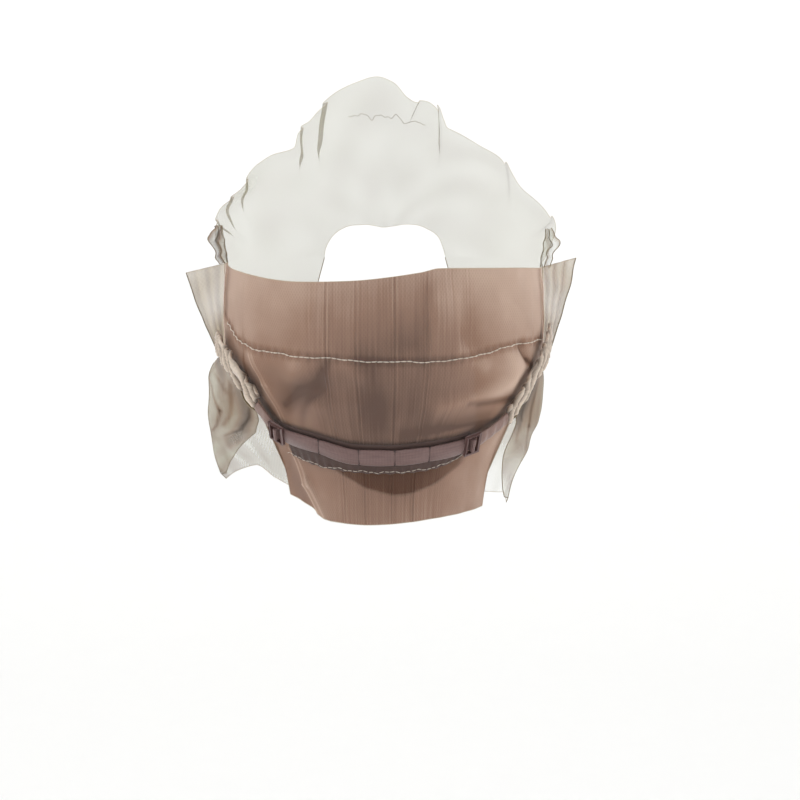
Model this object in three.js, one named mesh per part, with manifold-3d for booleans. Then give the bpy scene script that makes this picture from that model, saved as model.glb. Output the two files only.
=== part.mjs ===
// A sheer lace wig cap, in millimetres: +Z up, the face towards +Y, the origin inside the head at temple level
import * as THREE from 'three';
import { mergeVertices } from 'three/addons/utils/BufferGeometryUtils.js';
import Module from 'manifold-3d';

const wasm = await Module();
wasm.setup();

// Driving dimensions: the head that the cap is cut for
const HALF_BREADTH = 75;
const BACK_DEPTH = 95;
const FRONT_DEPTH = 95;
const CROWN_HEIGHT = 65;

// Driving dimensions: how far the lace hangs down from the origin
const NAPE_DROP = 124;
const STRAP_DROP = 90;
const LEFT_DROP = 109;
const RIGHT_DROP = 121;
const HEM_WAVE = 10;

// Driving dimensions: the lace and how it stands off the head
const LACE_WALL = 1;
const EASE = 2.5;
const CROWN_LIFT = 27;
const WING_LEFT = 21;
const WING_RIGHT = 18;
const WING_ROOT = 2;
const LEFT_WING_DIP = 5;
const RIGHT_WING_RISE = 5;
const WING_RIPPLE = 1.4;
const LEFT_WING_PLEATS = 2;
const RIGHT_WING_PLEATS = 3.5;
const CHEEK_STAND = 27;
const FOLD_HEIGHT = 3;
const FOLD_WIDTH = 5;

// Driving dimensions: strap, tapes, elastics and adjusters
const CLEARANCE = 0.6;
const SLIDER_SEAT = 0.9;
const RIBBON_WALL = 1;
const RIBBON_ABOVE = 6.5;
const RIBBON_DROP = 98;
const CASING_DROP = 109;
const STRAP_WIDTH = 8;
const STRAP_WALL = 1.2;
const ELASTIC_WIDTH = 9;
const ELASTIC_WALL = 1.1;
const ELASTIC_PITCH = 4.2;
const ELASTIC_PUFF = 0.9;
const ELASTIC_FLARE = 0.1;
const SLIDER_LENGTH = 7.5;
const SLIDER_WIDTH = 11.5;
const SLIDER_WALL = 1.2;
const SLIDER_BAR = 1.3;
const SLIDER_CORNER = 1.2;
const GATHER_HEIGHT = 19;
const GATHER_WIDTH = 7.5;
const GATHER_PITCH = 4.8;
const GATHER_DEPTH = 2;
const GATHER_FORWARD = 1.2;
const GATHER_LEAN = 3;
const GATHER_SEAT = 0.4;
const GATHER_RISE = 0.67;
const GATHER_FLARE = 0.6;
const HEM_TUCK = 0.9;
const CASING_TUCK = 1.6;

// Head form by level: wide is a share of the half breadth, back of the back depth, level of the nape drop
const FORM = [
  { level: -1.0, wide: 0.665, back: 0.63 },
  { level: -0.84, wide: 0.7, back: 0.665 },
  { level: -0.72, wide: 0.77, back: 0.725 },
  { level: -0.6, wide: 0.88, back: 0.815 },
  { level: -0.48, wide: 0.965, back: 0.9 },
  { level: -0.36, wide: 1.02, back: 0.965 },
  { level: -0.2, wide: 1.02, back: 1.0 },
  { level: 0.0, wide: 1.0, back: 1.0 },
  { level: 0.2, wide: 0.985, back: 0.97 },
];

// Top edge of the back lace, as a share of the nape drop, by degrees from the back seam
const TOP_EDGE = [
  { turn: -90, level: 0.0 },
  { turn: -60, level: -0.026 },
  { turn: -32, level: -0.047 },
  { turn: -13, level: -0.041 },
  { turn: 13, level: -0.009 },
  { turn: 20, level: 0.006 },
  { turn: 45, level: 0.0 },
  { turn: 90, level: -0.024 },
];

// Lower edge of the nape flap, as a share of the nape drop
const FLAP_LEFT = -58;
const FLAP_RIGHT = 66;
const FLAP_EDGE = 1.6;
const FLAP_HEM = [
  { turn: -58, level: -0.905 },
  { turn: -48, level: -0.923 },
  { turn: -40, level: -0.944 },
  { turn: -34, level: -0.976 },
  { turn: -28, level: -0.992 },
  { turn: -10, level: -1.0 },
  { turn: 31, level: -0.978 },
  { turn: 66, level: -0.96 },
];

// Middle line of the strap, tapes and elastics, as a share of the strap drop
const STRAP_LINE = [
  { turn: -88, level: -0.43 },
  { turn: -77, level: -0.467 },
  { turn: -65, level: -0.561 },
  { turn: -59, level: -0.65 },
  { turn: -54.7, level: -0.744 },
  { turn: -46.7, level: -0.889 },
  { turn: -28, level: -0.95 },
  { turn: -12, level: -1.0 },
  { turn: 3, level: -1.004 },
  { turn: 20.5, level: -0.986 },
  { turn: 39, level: -0.944 },
  { turn: 56, level: -0.817 },
  { turn: 61, level: -0.722 },
  { turn: 65, level: -0.633 },
  { turn: 72, level: -0.533 },
  { turn: 82, level: -0.444 },
  { turn: 88, level: -0.42 },
];

// Lower edges of the ribbon and of the lap behind it, as shares of their own drops
const RIBBON_HEM = [
  { turn: -46, level: -0.935 },
  { turn: -28, level: -0.985 },
  { turn: 0, level: -1.005 },
  { turn: 14, level: -1.0 },
  { turn: 28, level: -0.977 },
  { turn: 39, level: -0.925 },
];
const CASING_HEM = [
  { turn: -26, level: -0.88 },
  { turn: -19, level: -0.919 },
  { turn: -7.5, level: -0.972 },
  { turn: 8, level: -1.0 },
  { turn: 25, level: -0.963 },
  { turn: 41, level: -0.87 },
];

// Folds of the back lace: a ridge or valley along a line. Levels are shares of the nape drop, widths and
// heights of the fold width and height
const FOLDS = [
  { turn: -57, level: -0.355, toTurn: -49, toLevel: -0.58, width: 0.8, height: 0.87 },
  { turn: -28, level: -0.4, toTurn: -38, toLevel: -0.53, width: 1, height: -1 },
  { turn: -38, level: -0.53, toTurn: -44, toLevel: -0.61, width: 0.8, height: -1 },
  { turn: -40, level: -0.42, toTurn: -46, toLevel: -0.52, width: 1, height: 0.8 },
  { turn: 22, level: -0.53, toTurn: 54, toLevel: -0.46, width: 1, height: 1 },
  { turn: 8, level: -0.64, toTurn: 46, toLevel: -0.56, width: 0.8, height: -0.8 },
  { turn: 60, level: -0.31, toTurn: 66, toLevel: -0.42, width: 0.6, height: -0.87 },
  { turn: 10, level: -0.11, toTurn: 8, toLevel: -0.29, width: 1.4, height: -0.67 },
  { turn: -4, level: -0.4, toTurn: -2, toLevel: -0.6, width: 1.6, height: 0.67 },
  { turn: -48, level: -0.815, toTurn: -35, toLevel: -0.976, width: 0.8, height: 0.8 },
];
const FOLD_HUSH = 16;

// Rear edge of the front lace over the crown: lift off the head as a share of the crown lift
const CROWN_EDGE = [
  { turn: -90, lift: 0.16 },
  { turn: -80, lift: 0.4 },
  { turn: -73, lift: 0.45 },
  { turn: -68, lift: 0.36 },
  { turn: -61, lift: 0.27 },
  { turn: -55, lift: 0.32 },
  { turn: -48, lift: 0.3 },
  { turn: -39, lift: 0.15 },
  { turn: -33, lift: 0.39 },
  { turn: -28, lift: 0.46 },
  { turn: -22, lift: 0.63 },
  { turn: -15, lift: 0.84 },
  { turn: -8, lift: 0.93 },
  { turn: -2, lift: 1.0 },
  { turn: 3, lift: 0.92 },
  { turn: 8, lift: 0.67 },
  { turn: 11, lift: 0.6 },
  { turn: 15, lift: 0.63 },
  { turn: 19, lift: 0.58 },
  { turn: 23, lift: 0.39 },
  { turn: 26, lift: 0.27 },
  { turn: 38, lift: 0.26 },
  { turn: 49, lift: 0.27 },
  { turn: 61, lift: 0.22 },
  { turn: 71, lift: 0.36 },
  { turn: 78, lift: 0.49 },
  { turn: 84, lift: 0.34 },
  { turn: 90, lift: 0.15 },
];
const CROWN_REAR_TOP = 15;
const CROWN_REAR_SIDE = 1;
const CROWN_FADE = 1.5;
const FACE_TOP = 77.6;
const FACE_SIDE = 66;

// Cheeks of the front lace. Level 0 is the origin, -1 the corner under the elastic and -2 the tip. Out and far
// are the half breadth at the ear line and at the face edge as shares. The rear edge laps over the back lace
// by so many layers, and stands off it by a share of the cheek stand. Rear and face are degrees round the head
const CORNER_SHARE = 0.9;
const LEFT_CHEEK = [
  { level: -2.0, out: 1.087, lap: 0, off: 1, far: 0.93, rear: 93, face: 136 },
  { level: -1.82, out: 1.107, lap: 0, off: 0.89, far: 0.945, rear: 88, face: 136.5 },
  { level: -1.57, out: 1.13, lap: 0, off: 0.7, far: 0.96, rear: 80, face: 137 },
  { level: -1.22, out: 1.155, lap: 1, off: 0.39, far: 0.98, rear: 69, face: 138 },
  { level: -1.0, out: 1.165, lap: 1, off: 0.2, far: 0.99, rear: 60, face: 138.5 },
  { level: -0.91, out: 1.172, lap: 1, off: 0.02, far: 1.0, rear: 58, face: 139 },
  { level: -0.83, out: 1.172, lap: 1, off: 0, far: 1.01, rear: 59, face: 140 },
  { level: -0.72, out: 1.165, lap: 0.8, off: 0, far: 1.02, rear: 62, face: 142 },
  { level: -0.62, out: 1.125, lap: 0.3, off: 0, far: 1.03, rear: 69, face: 144 },
  { level: -0.55, out: 1.075, lap: 0, off: 0, far: 1.03, rear: 82, face: 146 },
  { level: -0.51, out: 1.062, lap: 0.2, off: 0, far: 1.03, rear: 91, face: 148 },
  { level: -0.24, out: 1.058, lap: 0.2, off: 0, far: 1.035, rear: 91, face: 152 },
  { level: 0.0, out: 1.058, lap: 1, off: 0, far: 1.033, rear: 91, face: 156 },
];
const RIGHT_CHEEK = [
  { level: -2.0, out: 0.824, lap: 1, off: 0.26, far: 0.86, rear: 93, face: 136 },
  { level: -1.79, out: 0.853, lap: 1, off: 0.16, far: 0.88, rear: 85, face: 136.5 },
  { level: -1.55, out: 0.9, lap: 1, off: 0.11, far: 0.9, rear: 77, face: 137 },
  { level: -1.34, out: 0.955, lap: 1, off: 0.11, far: 0.93, rear: 72, face: 137.5 },
  { level: -1.15, out: 0.985, lap: 1, off: 0.11, far: 0.95, rear: 69, face: 138 },
  { level: -0.96, out: 1.035, lap: 1, off: 0.08, far: 0.98, rear: 65, face: 139 },
  { level: -0.9, out: 1.045, lap: 1, off: 0.03, far: 0.99, rear: 64, face: 140 },
  { level: -0.8, out: 1.052, lap: 1, off: 0, far: 1.01, rear: 65, face: 141 },
  { level: -0.7, out: 1.06, lap: 1, off: 0, far: 1.02, rear: 69, face: 142 },
  { level: -0.6, out: 1.06, lap: 0.5, off: 0, far: 1.03, rear: 77, face: 145 },
  { level: -0.54, out: 1.058, lap: 0.2, off: 0, far: 1.03, rear: 86, face: 147 },
  { level: -0.49, out: 1.055, lap: 0.2, off: 0, far: 1.03, rear: 91, face: 149 },
  { level: -0.24, out: 1.054, lap: 0.2, off: 0, far: 1.035, rear: 91, face: 152 },
  { level: 0.0, out: 1.054, lap: 1, off: 0, far: 1.033, rear: 91, face: 156 },
];

// Waves of the cheek hems from rear edge to face edge, as shares of the hem wave
const LEFT_HEM = [
  { along: 0, rise: 0 },
  { along: 0.25, rise: 0.2 },
  { along: 0.5, rise: 0.3 },
  { along: 0.75, rise: -0.5 },
  { along: 1, rise: -1.2 },
];
const RIGHT_HEM = [
  { along: 0, rise: 0 },
  { along: 0.2, rise: 0.3 },
  { along: 0.5, rise: 0.1 },
  { along: 1, rise: -0.2 },
];

const NET_TAN = 0xb7a392;
const RIBBON_MAUVE = 0x6a5651;
const STRAP_MAUVE = 0x8a7370;
const ELASTIC_BEIGE = 0xb09a86;
const SLIDER_MAUVE = 0x9a8482;

const DEGREE = Math.PI / 180;

// Value of one column at a place along a table, smooth and without overshoot
function smooth(rows, key, column, at) {
  const last = rows.length - 1;
  if (at <= rows[0][key]) return rows[0][column];
  if (at >= rows[last][key]) return rows[last][column];
  const slope = (j) => (rows[j + 1][column] - rows[j][column]) / (rows[j + 1][key] - rows[j][key]);
  const tangent = (j) => {
    if (j === 0) return slope(0);
    if (j === last) return slope(last - 1);
    const product = slope(j - 1) * slope(j);
    return product <= 0 ? 0 : (2 * product) / (slope(j - 1) + slope(j));
  };
  const i = rows.findIndex((row) => row[key] > at) - 1;
  const width = rows[i + 1][key] - rows[i][key];
  const t = (at - rows[i][key]) / width;
  const t2 = t * t;
  const t3 = t2 * t;
  return (2 * t3 - 3 * t2 + 1) * rows[i][column]
    + (t3 - 2 * t2 + t) * width * tangent(i)
    + (3 * t2 - 2 * t3) * rows[i + 1][column]
    + (t3 - t2) * width * tangent(i + 1);
}

function ease(from, to, at) {
  const t = Math.min(1, Math.max(0, (at - from) / (to - from)));
  return t * t * (3 - 2 * t);
}

function blend(from, to, share) {
  return from + (to - from) * share;
}

function steps(from, to, count) {
  return Array.from({ length: count + 1 }, (_, i) => blend(from, to, i / count));
}

// A point that stands off the head form by out, at degrees from the back seam
function wallPoint(turn, level, out) {
  const wide = HALF_BREADTH * smooth(FORM, 'level', 'wide', level / NAPE_DROP) + out;
  const back = BACK_DEPTH * smooth(FORM, 'level', 'back', level / NAPE_DROP) + out;
  return new THREE.Vector3(wide * Math.sin(turn * DEGREE), -back * Math.cos(turn * DEGREE), level);
}

function strapLevel(turn) {
  return STRAP_DROP * smooth(STRAP_LINE, 'turn', 'level', turn);
}

// Closed sheet of even wall round a grid of points
function sheetSolid(pointAt, columns, rows, wall) {
  const grid = columns.map((column) => rows.map((row) => pointAt(column, row)));
  const across = rows.length;
  const positions = [];
  const side = (sign) => grid.forEach((line, i) => line.forEach((point, j) => {
    const along = grid[Math.min(i + 1, columns.length - 1)][j].clone().sub(grid[Math.max(i - 1, 0)][j]);
    const down = line[Math.min(j + 1, across - 1)].clone().sub(line[Math.max(j - 1, 0)]);
    const normal = along.cross(down).normalize();
    positions.push(...point.clone().addScaledVector(normal, (sign * wall) / 2).toArray());
  }));
  side(1);
  side(-1);
  const under = columns.length * across;
  const index = [];
  const quad = (a, b, c, d) => index.push(a, b, c, a, c, d);
  for (let i = 0; i + 1 < columns.length; i += 1) {
    for (let j = 0; j + 1 < across; j += 1) {
      const a = i * across + j;
      quad(a, a + across, a + across + 1, a + 1);
      quad(under + a, under + a + 1, under + a + across + 1, under + a + across);
    }
    const top = i * across;
    const low = top + across - 1;
    quad(top, under + top, under + top + across, top + across);
    quad(low, low + across, under + low + across, under + low);
  }
  for (let j = 0; j + 1 < across; j += 1) {
    const end = (columns.length - 1) * across + j;
    quad(j, j + 1, under + j + 1, under + j);
    quad(end, under + end, under + end + 1, end + 1);
  }
  const geometry = new THREE.BufferGeometry();
  geometry.setAttribute('position', new THREE.Float32BufferAttribute(positions, 3));
  geometry.setIndex(index);
  if (volume(geometry) < 0) geometry.setIndex(index.reverse());
  geometry.computeVertexNormals();
  return geometry;
}

function volume(geometry) {
  const corner = (i) => new THREE.Vector3().fromBufferAttribute(geometry.attributes.position, geometry.index.getX(i));
  let sum = 0;
  for (let i = 0; i < geometry.index.count; i += 3) {
    sum += corner(i).dot(corner(i + 1).cross(corner(i + 2)));
  }
  return sum / 6;
}

const cap = new THREE.Group();

function addPiece(name, geometry, colour, roughness) {
  const material = new THREE.MeshStandardMaterial({ color: colour, roughness, metalness: 0 });
  const mesh = new THREE.Mesh(geometry, material);
  mesh.name = name;
  cap.add(mesh);
  return mesh;
}

// Back lace: the head form with its folds, and a wing beyond each side seam
const SEAM_TURN = 88;

function hemLevel(turn) {
  const side = strapLevel(turn) - HEM_TUCK;
  const flap = NAPE_DROP * smooth(FLAP_HEM, 'turn', 'level', turn);
  const hangs = ease(FLAP_LEFT - FLAP_EDGE, FLAP_LEFT, turn) * (1 - ease(FLAP_RIGHT, FLAP_RIGHT + FLAP_EDGE, turn));
  return blend(side, flap, hangs);
}

function foldHeight(turn, level) {
  const width = HALF_BREADTH * DEGREE;
  const sum = FOLDS.reduce((total, fold) => {
    const drop = (fold.toLevel - fold.level) * NAPE_DROP;
    const run = new THREE.Vector2((fold.toTurn - fold.turn) * width, drop);
    const here = new THREE.Vector2((turn - fold.turn) * width, level - fold.level * NAPE_DROP);
    const share = Math.min(1, Math.max(0, here.dot(run) / run.lengthSq()));
    const away = here.addScaledVector(run, -share).length() / (FOLD_WIDTH * fold.width);
    return total + FOLD_HEIGHT * fold.height * Math.exp(-away * away);
  }, 0);
  const near = (level - strapLevel(turn)) / FOLD_HUSH;
  return sum * (1 - Math.exp(-near * near * near * near));
}

function backPoint(column, along) {
  const top = NAPE_DROP * smooth(TOP_EDGE, 'turn', 'level', column.turn);
  const level = blend(top, hemLevel(column.turn), along);
  const point = wallPoint(column.turn, level, EASE + foldHeight(column.turn, level));
  if (column.reach > 0) {
    const side = Math.sign(column.turn);
    const wing = side < 0 ? WING_LEFT : WING_RIGHT;
    const tilt = side < 0 ? -LEFT_WING_DIP : RIGHT_WING_RISE;
    const share = column.reach * (1 - along);
    point.x += side * (wing * share + WING_ROOT * column.reach * along);
    point.z += tilt * share;
    point.y += WING_RIPPLE * Math.sin(column.reach * Math.PI * column.pleats) * (1 - along);
  }
  return point;
}

function wingColumns(side, reaches, pleats) {
  return reaches.map((reach) => ({ turn: side * SEAM_TURN, reach, pleats }));
}

function makeBackLace() {
  const turns = [
    ...steps(-SEAM_TURN, FLAP_LEFT - FLAP_EDGE, 8),
    ...steps(FLAP_LEFT, FLAP_RIGHT, 36),
    ...steps(FLAP_RIGHT + FLAP_EDGE, SEAM_TURN, 6),
  ];
  const columns = [
    ...wingColumns(-1, [1, 0.8, 0.6, 0.4, 0.2, 0.05], LEFT_WING_PLEATS),
    ...turns.map((turn) => ({ turn, reach: 0 })),
    ...wingColumns(1, [0.05, 0.2, 0.36, 0.52, 0.68, 0.84, 1], RIGHT_WING_PLEATS),
  ];
  addPiece('back_lace', sheetSolid(backPoint, columns, steps(0, 1, 14), LACE_WALL), NET_TAN, 0.9);
}

// Front lace: cheeks cut by level, and the crown cut by degrees over the head
const EAR_TURN = 90;

function cheekPoint(section, along) {
  const left = section.side < 0;
  const table = left ? LEFT_CHEEK : RIGHT_CHEEK;
  const drop = left ? LEFT_DROP : RIGHT_DROP;
  const at = (column) => smooth(table, 'level', column, section.level);
  const turn = blend(at('rear'), at('face'), along);
  const corner = CORNER_SHARE * STRAP_DROP;
  const level = section.level < -1 ? blend(-corner, -drop, -1 - section.level) : corner * section.level;
  const hem = smooth(left ? LEFT_HEM : RIGHT_HEM, 'along', 'rise', along);
  const wave = HEM_WAVE * hem * ease(-1, -2, section.level);
  const behind = turn < EAR_TURN;
  const form = (column) => smooth(FORM, 'level', column, level / NAPE_DROP);
  const stand = EASE + at('lap') * (LACE_WALL + CLEARANCE) + at('off') * CHEEK_STAND;
  const rim = HALF_BREADTH * form('wide') + stand;
  const wrap = ease(at('rear'), EAR_TURN, turn);
  const ahead = (turn - EAR_TURN) / (at('face') - EAR_TURN);
  const wide = behind
    ? blend(rim, HALF_BREADTH * at('out'), wrap)
    : HALF_BREADTH * blend(at('far'), at('out'), (1 - ahead) ** CROWN_FADE);
  const depth = behind ? BACK_DEPTH * form('back') + stand : FRONT_DEPTH + EASE;
  return new THREE.Vector3(
    section.side * wide * Math.sin(turn * DEGREE),
    -depth * Math.cos(turn * DEGREE),
    level + wave,
  );
}

function crownPoint(section, along) {
  const sin = Math.sin(section.turn * DEGREE);
  const cos = Math.cos(section.turn * DEGREE);
  const head = 1 / Math.hypot(sin / HALF_BREADTH, cos / CROWN_HEIGHT);
  const rear = blend(CROWN_REAR_SIDE, CROWN_REAR_TOP, cos * cos) * DEGREE;
  const face = Math.acos(blend(Math.cos(FACE_TOP * DEGREE), Math.cos(FACE_SIDE * DEGREE), sin * sin));
  const forward = blend(rear, face, along);
  const lift = CROWN_LIFT * smooth(CROWN_EDGE, 'turn', 'lift', section.turn);
  const snug = head + EASE;
  const loose = (head + lift) / Math.cos(rear) - snug;
  const radius = snug + loose * (1 - along) ** CROWN_FADE;
  return new THREE.Vector3(
    radius * sin * Math.cos(forward),
    (FRONT_DEPTH + EASE) * Math.sin(forward),
    radius * cos * Math.cos(forward),
  );
}

function frontPoint(section, along) {
  return section.side ? cheekPoint(section, along) : crownPoint(section, along);
}

function makeFrontLace() {
  const levels = [...steps(-2, -1, 7), ...steps(-0.93, -0.44, 7), -0.3, -0.15];
  const crownTurns = [...steps(-90, -40, 9), ...steps(-36, 32, 17), ...steps(38, 90, 9)];
  const sections = [
    ...levels.map((level) => ({ side: -1, level })),
    ...crownTurns.map((turn) => ({ side: 0, turn })),
    ...levels.toReversed().map((level) => ({ side: 1, level })),
  ];
  addPiece('front_lace', sheetSolid(frontPoint, sections, steps(0, 1, 11), LACE_WALL), NET_TAN, 0.9);
}

// A band along the strap line, on the head form: across is measured square to the line
function bandPoint(turn, across, out) {
  const step = 0.5;
  const before = wallPoint(turn - step, strapLevel(turn - step), out);
  const after = wallPoint(turn + step, strapLevel(turn + step), out);
  const rise = after.z - before.z;
  const run = Math.hypot(after.x - before.x, after.y - before.y);
  const length = Math.hypot(rise, run);
  const turnPerMm = (2 * step) / run;
  return wallPoint(turn - across * (rise / length) * turnPerMm, strapLevel(turn) + across * (run / length), out);
}

const RIBBON_OUT = EASE + LACE_WALL / 2 + CLEARANCE + RIBBON_WALL / 2;
const STRAP_OUT = RIBBON_OUT + RIBBON_WALL / 2 + CLEARANCE + STRAP_WALL / 2;
const SLIDER_OUT = STRAP_OUT + STRAP_WALL / 2 + SLIDER_SEAT + SLIDER_WALL / 2;
const ELASTIC_OUT = STRAP_OUT - STRAP_WALL / 2 + ELASTIC_PUFF + ELASTIC_WALL / 2;
const CASING_OUT = EASE - LACE_WALL - CLEARANCE;

// Places of the adjusters round the strap line
const LEFT_SLIDER_TURN = -46.7;
const RIGHT_SLIDER_TURN = 39;
const LEFT_TAPE_END = -54.2;
const RIGHT_TAPE_END = 55.5;
const LEFT_ELASTIC_END = -84;
const RIGHT_ELASTIC_END = 84;
const END_GAP = 0.45;

function makeRibbon() {
  const point = (turn, along) => {
    const top = strapLevel(turn) + RIBBON_ABOVE;
    return wallPoint(turn, blend(top, RIBBON_DROP * smooth(RIBBON_HEM, 'turn', 'level', turn), along), RIBBON_OUT);
  };
  const turns = steps(LEFT_SLIDER_TURN + 1, RIGHT_SLIDER_TURN - 1, 30);
  addPiece('nape_ribbon', sheetSolid(point, turns, steps(0, 1, 2), RIBBON_WALL), RIBBON_MAUVE, 0.55);
}

function makeCasing() {
  const point = (turn, along) => {
    const hem = CASING_DROP * smooth(CASING_HEM, 'turn', 'level', turn);
    return wallPoint(turn, blend(strapLevel(turn) + CASING_TUCK, hem, along), CASING_OUT);
  };
  const turns = steps(CASING_HEM[0].turn, CASING_HEM[CASING_HEM.length - 1].turn, 20);
  addPiece('casing_lace', sheetSolid(point, turns, steps(0, 1, 3), LACE_WALL), NET_TAN, 0.9);
}

function makeBand(name, from, to, count, colour) {
  const point = (turn, across) => bandPoint(turn, across, STRAP_OUT);
  const rows = steps(STRAP_WIDTH / 2, -STRAP_WIDTH / 2, 2);
  addPiece(name, sheetSolid(point, steps(from, to, count), rows, STRAP_WALL), colour, 0.4);
}

// Ruched elastic: its gathers puff in and out along the line
function makeElastic(name, from, to) {
  const length = bandPoint(from, 0, ELASTIC_OUT).distanceTo(bandPoint(to, 0, ELASTIC_OUT));
  const ruches = Math.round(length / ELASTIC_PITCH);
  const point = (share, across) => {
    const puff = ELASTIC_PUFF * Math.sin(share * ruches * 2 * Math.PI);
    const flare = 1 + ELASTIC_FLARE * Math.cos(share * ruches * 2 * Math.PI);
    return bandPoint(blend(from, to, share), across * flare, ELASTIC_OUT + puff);
  };
  const rows = steps(ELASTIC_WIDTH / 2, -ELASTIC_WIDTH / 2, 2);
  addPiece(name, sheetSolid(point, steps(0, 1, ruches * 5), rows, ELASTIC_WALL), ELASTIC_BEIGE, 0.8);
}

// Cuts closed shapes out of another
function carve(blank, cutters) {
  const solid = (geometry) => {
    geometry.deleteAttribute('normal');
    geometry.deleteAttribute('uv');
    const merged = mergeVertices(geometry);
    return new wasm.Manifold(new wasm.Mesh({
      numProp: 3,
      vertProperties: new Float32Array(merged.attributes.position.array),
      triVerts: new Uint32Array(merged.index.array),
    }));
  };
  const mesh = cutters.reduce((rest, cutter) => rest.subtract(solid(cutter)), solid(blank)).getMesh();
  const geometry = new THREE.BufferGeometry();
  geometry.setAttribute('position', new THREE.Float32BufferAttribute(mesh.vertProperties, 3));
  geometry.setIndex(Array.from(mesh.triVerts));
  geometry.computeVertexNormals();
  return geometry;
}

// Three-bar adjuster: a rounded plate with two slots, laid flat over the strap's end
function makeSlider(name, turn) {
  const x = SLIDER_LENGTH / 2;
  const y = SLIDER_WIDTH / 2;
  const plate = new THREE.Shape();
  plate.absarc(x - SLIDER_CORNER, y - SLIDER_CORNER, SLIDER_CORNER, 0, Math.PI / 2);
  plate.absarc(-x + SLIDER_CORNER, y - SLIDER_CORNER, SLIDER_CORNER, Math.PI / 2, Math.PI);
  plate.absarc(-x + SLIDER_CORNER, -y + SLIDER_CORNER, SLIDER_CORNER, Math.PI, 1.5 * Math.PI);
  plate.absarc(x - SLIDER_CORNER, -y + SLIDER_CORNER, SLIDER_CORNER, 1.5 * Math.PI, 2 * Math.PI);
  const slotLength = (SLIDER_LENGTH - 3 * SLIDER_BAR) / 2;
  const slot = new THREE.BoxGeometry(slotLength, STRAP_WIDTH + 2 * CLEARANCE, 3 * SLIDER_WALL);
  const middle = (SLIDER_BAR + slotLength) / 2;
  const blank = new THREE.ExtrudeGeometry(plate, { depth: SLIDER_WALL, bevelEnabled: false, curveSegments: 3 });
  const left = slot.clone().translate(-middle, 0, 0);
  const right = slot.clone().translate(middle, 0, 0);
  const geometry = carve(blank.translate(0, 0, -SLIDER_WALL / 2), [left, right]);
  const mesh = addPiece(name, geometry, SLIDER_MAUVE, 0.35);
  const centre = bandPoint(turn, 0, SLIDER_OUT);
  const along = bandPoint(turn + 1, 0, SLIDER_OUT).sub(bandPoint(turn - 1, 0, SLIDER_OUT)).normalize();
  const up = bandPoint(turn, 1, SLIDER_OUT).sub(bandPoint(turn, -1, SLIDER_OUT)).normalize();
  const outward = along.clone().cross(up).normalize();
  mesh.position.copy(centre);
  mesh.quaternion.setFromRotationMatrix(new THREE.Matrix4().makeBasis(along, outward.clone().cross(along), outward));
}

// Gathered tuft at the top of a side seam, pleated up the edge of the front lace
function makeGather(name, side) {
  const root = backPoint({ turn: side * SEAM_TURN, reach: 0 }, 0);
  const pleats = GATHER_HEIGHT / GATHER_PITCH;
  const wingRise = side > 0 ? (GATHER_RISE * RIGHT_WING_RISE * GATHER_WIDTH) / WING_RIGHT : 0;
  const pleatDepth = (across) => GATHER_DEPTH * blend(1 - GATHER_FLARE, 1, across);
  const point = (share, across) => new THREE.Vector3(
    root.x + side * (GATHER_WIDTH * across + GATHER_LEAN * share),
    root.y + GATHER_FORWARD + pleatDepth(across) * Math.sin(share * pleats * 2 * Math.PI),
    root.z + GATHER_SEAT + wingRise + share * GATHER_HEIGHT,
  );
  addPiece(name, sheetSolid(point, steps(0, 1, 24), steps(0, 1, 2), LACE_WALL), NET_TAN, 0.9);
}

makeBackLace();
makeFrontLace();
makeCasing();
makeRibbon();
makeBand('looped_strap', LEFT_SLIDER_TURN + END_GAP, RIGHT_SLIDER_TURN - END_GAP, 32, STRAP_MAUVE);
makeBand('tape_left', LEFT_TAPE_END, LEFT_SLIDER_TURN - END_GAP, 5, STRAP_MAUVE);
makeBand('tape_right', RIGHT_SLIDER_TURN + END_GAP, RIGHT_TAPE_END, 8, STRAP_MAUVE);
makeElastic('elastic_left', LEFT_ELASTIC_END, LEFT_TAPE_END - END_GAP);
makeElastic('elastic_right', RIGHT_TAPE_END + END_GAP, RIGHT_ELASTIC_END);
makeSlider('slider_left', LEFT_SLIDER_TURN);
makeSlider('slider_right', RIGHT_SLIDER_TURN);
makeGather('gather_left', -1);
makeGather('gather_right', 1);

export default cap;
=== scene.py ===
# A sheer lace wig cap with an adjustable strap at the nape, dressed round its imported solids
import math

import bpy
import numpy as np
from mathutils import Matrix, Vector


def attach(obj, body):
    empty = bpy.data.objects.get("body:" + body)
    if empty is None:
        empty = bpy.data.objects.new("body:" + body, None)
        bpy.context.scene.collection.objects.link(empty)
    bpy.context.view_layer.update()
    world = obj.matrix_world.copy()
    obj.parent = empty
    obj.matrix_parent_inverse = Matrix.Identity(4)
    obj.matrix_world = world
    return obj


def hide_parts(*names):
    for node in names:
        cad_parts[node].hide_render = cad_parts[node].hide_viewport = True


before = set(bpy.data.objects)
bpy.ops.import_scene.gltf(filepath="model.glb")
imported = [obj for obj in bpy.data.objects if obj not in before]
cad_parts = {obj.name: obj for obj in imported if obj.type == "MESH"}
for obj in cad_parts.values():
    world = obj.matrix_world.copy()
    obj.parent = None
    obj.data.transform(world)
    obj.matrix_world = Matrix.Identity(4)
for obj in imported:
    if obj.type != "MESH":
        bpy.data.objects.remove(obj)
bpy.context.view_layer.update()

MM = 0.001

# Head that the cap is cut for and the drops of its edges, in millimetres
HALF_BREADTH = 75.0
BACK_DEPTH = 95.0
FRONT_DEPTH = 95.0
CROWN_HEIGHT = 65.0
NAPE_DROP = 124.0
STRAP_DROP = 90.0
LEFT_DROP = 109.0
RIGHT_DROP = 121.0
RIBBON_DROP = 98.0
CASING_DROP = 109.0
HEM_WAVE = 10.0

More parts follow.
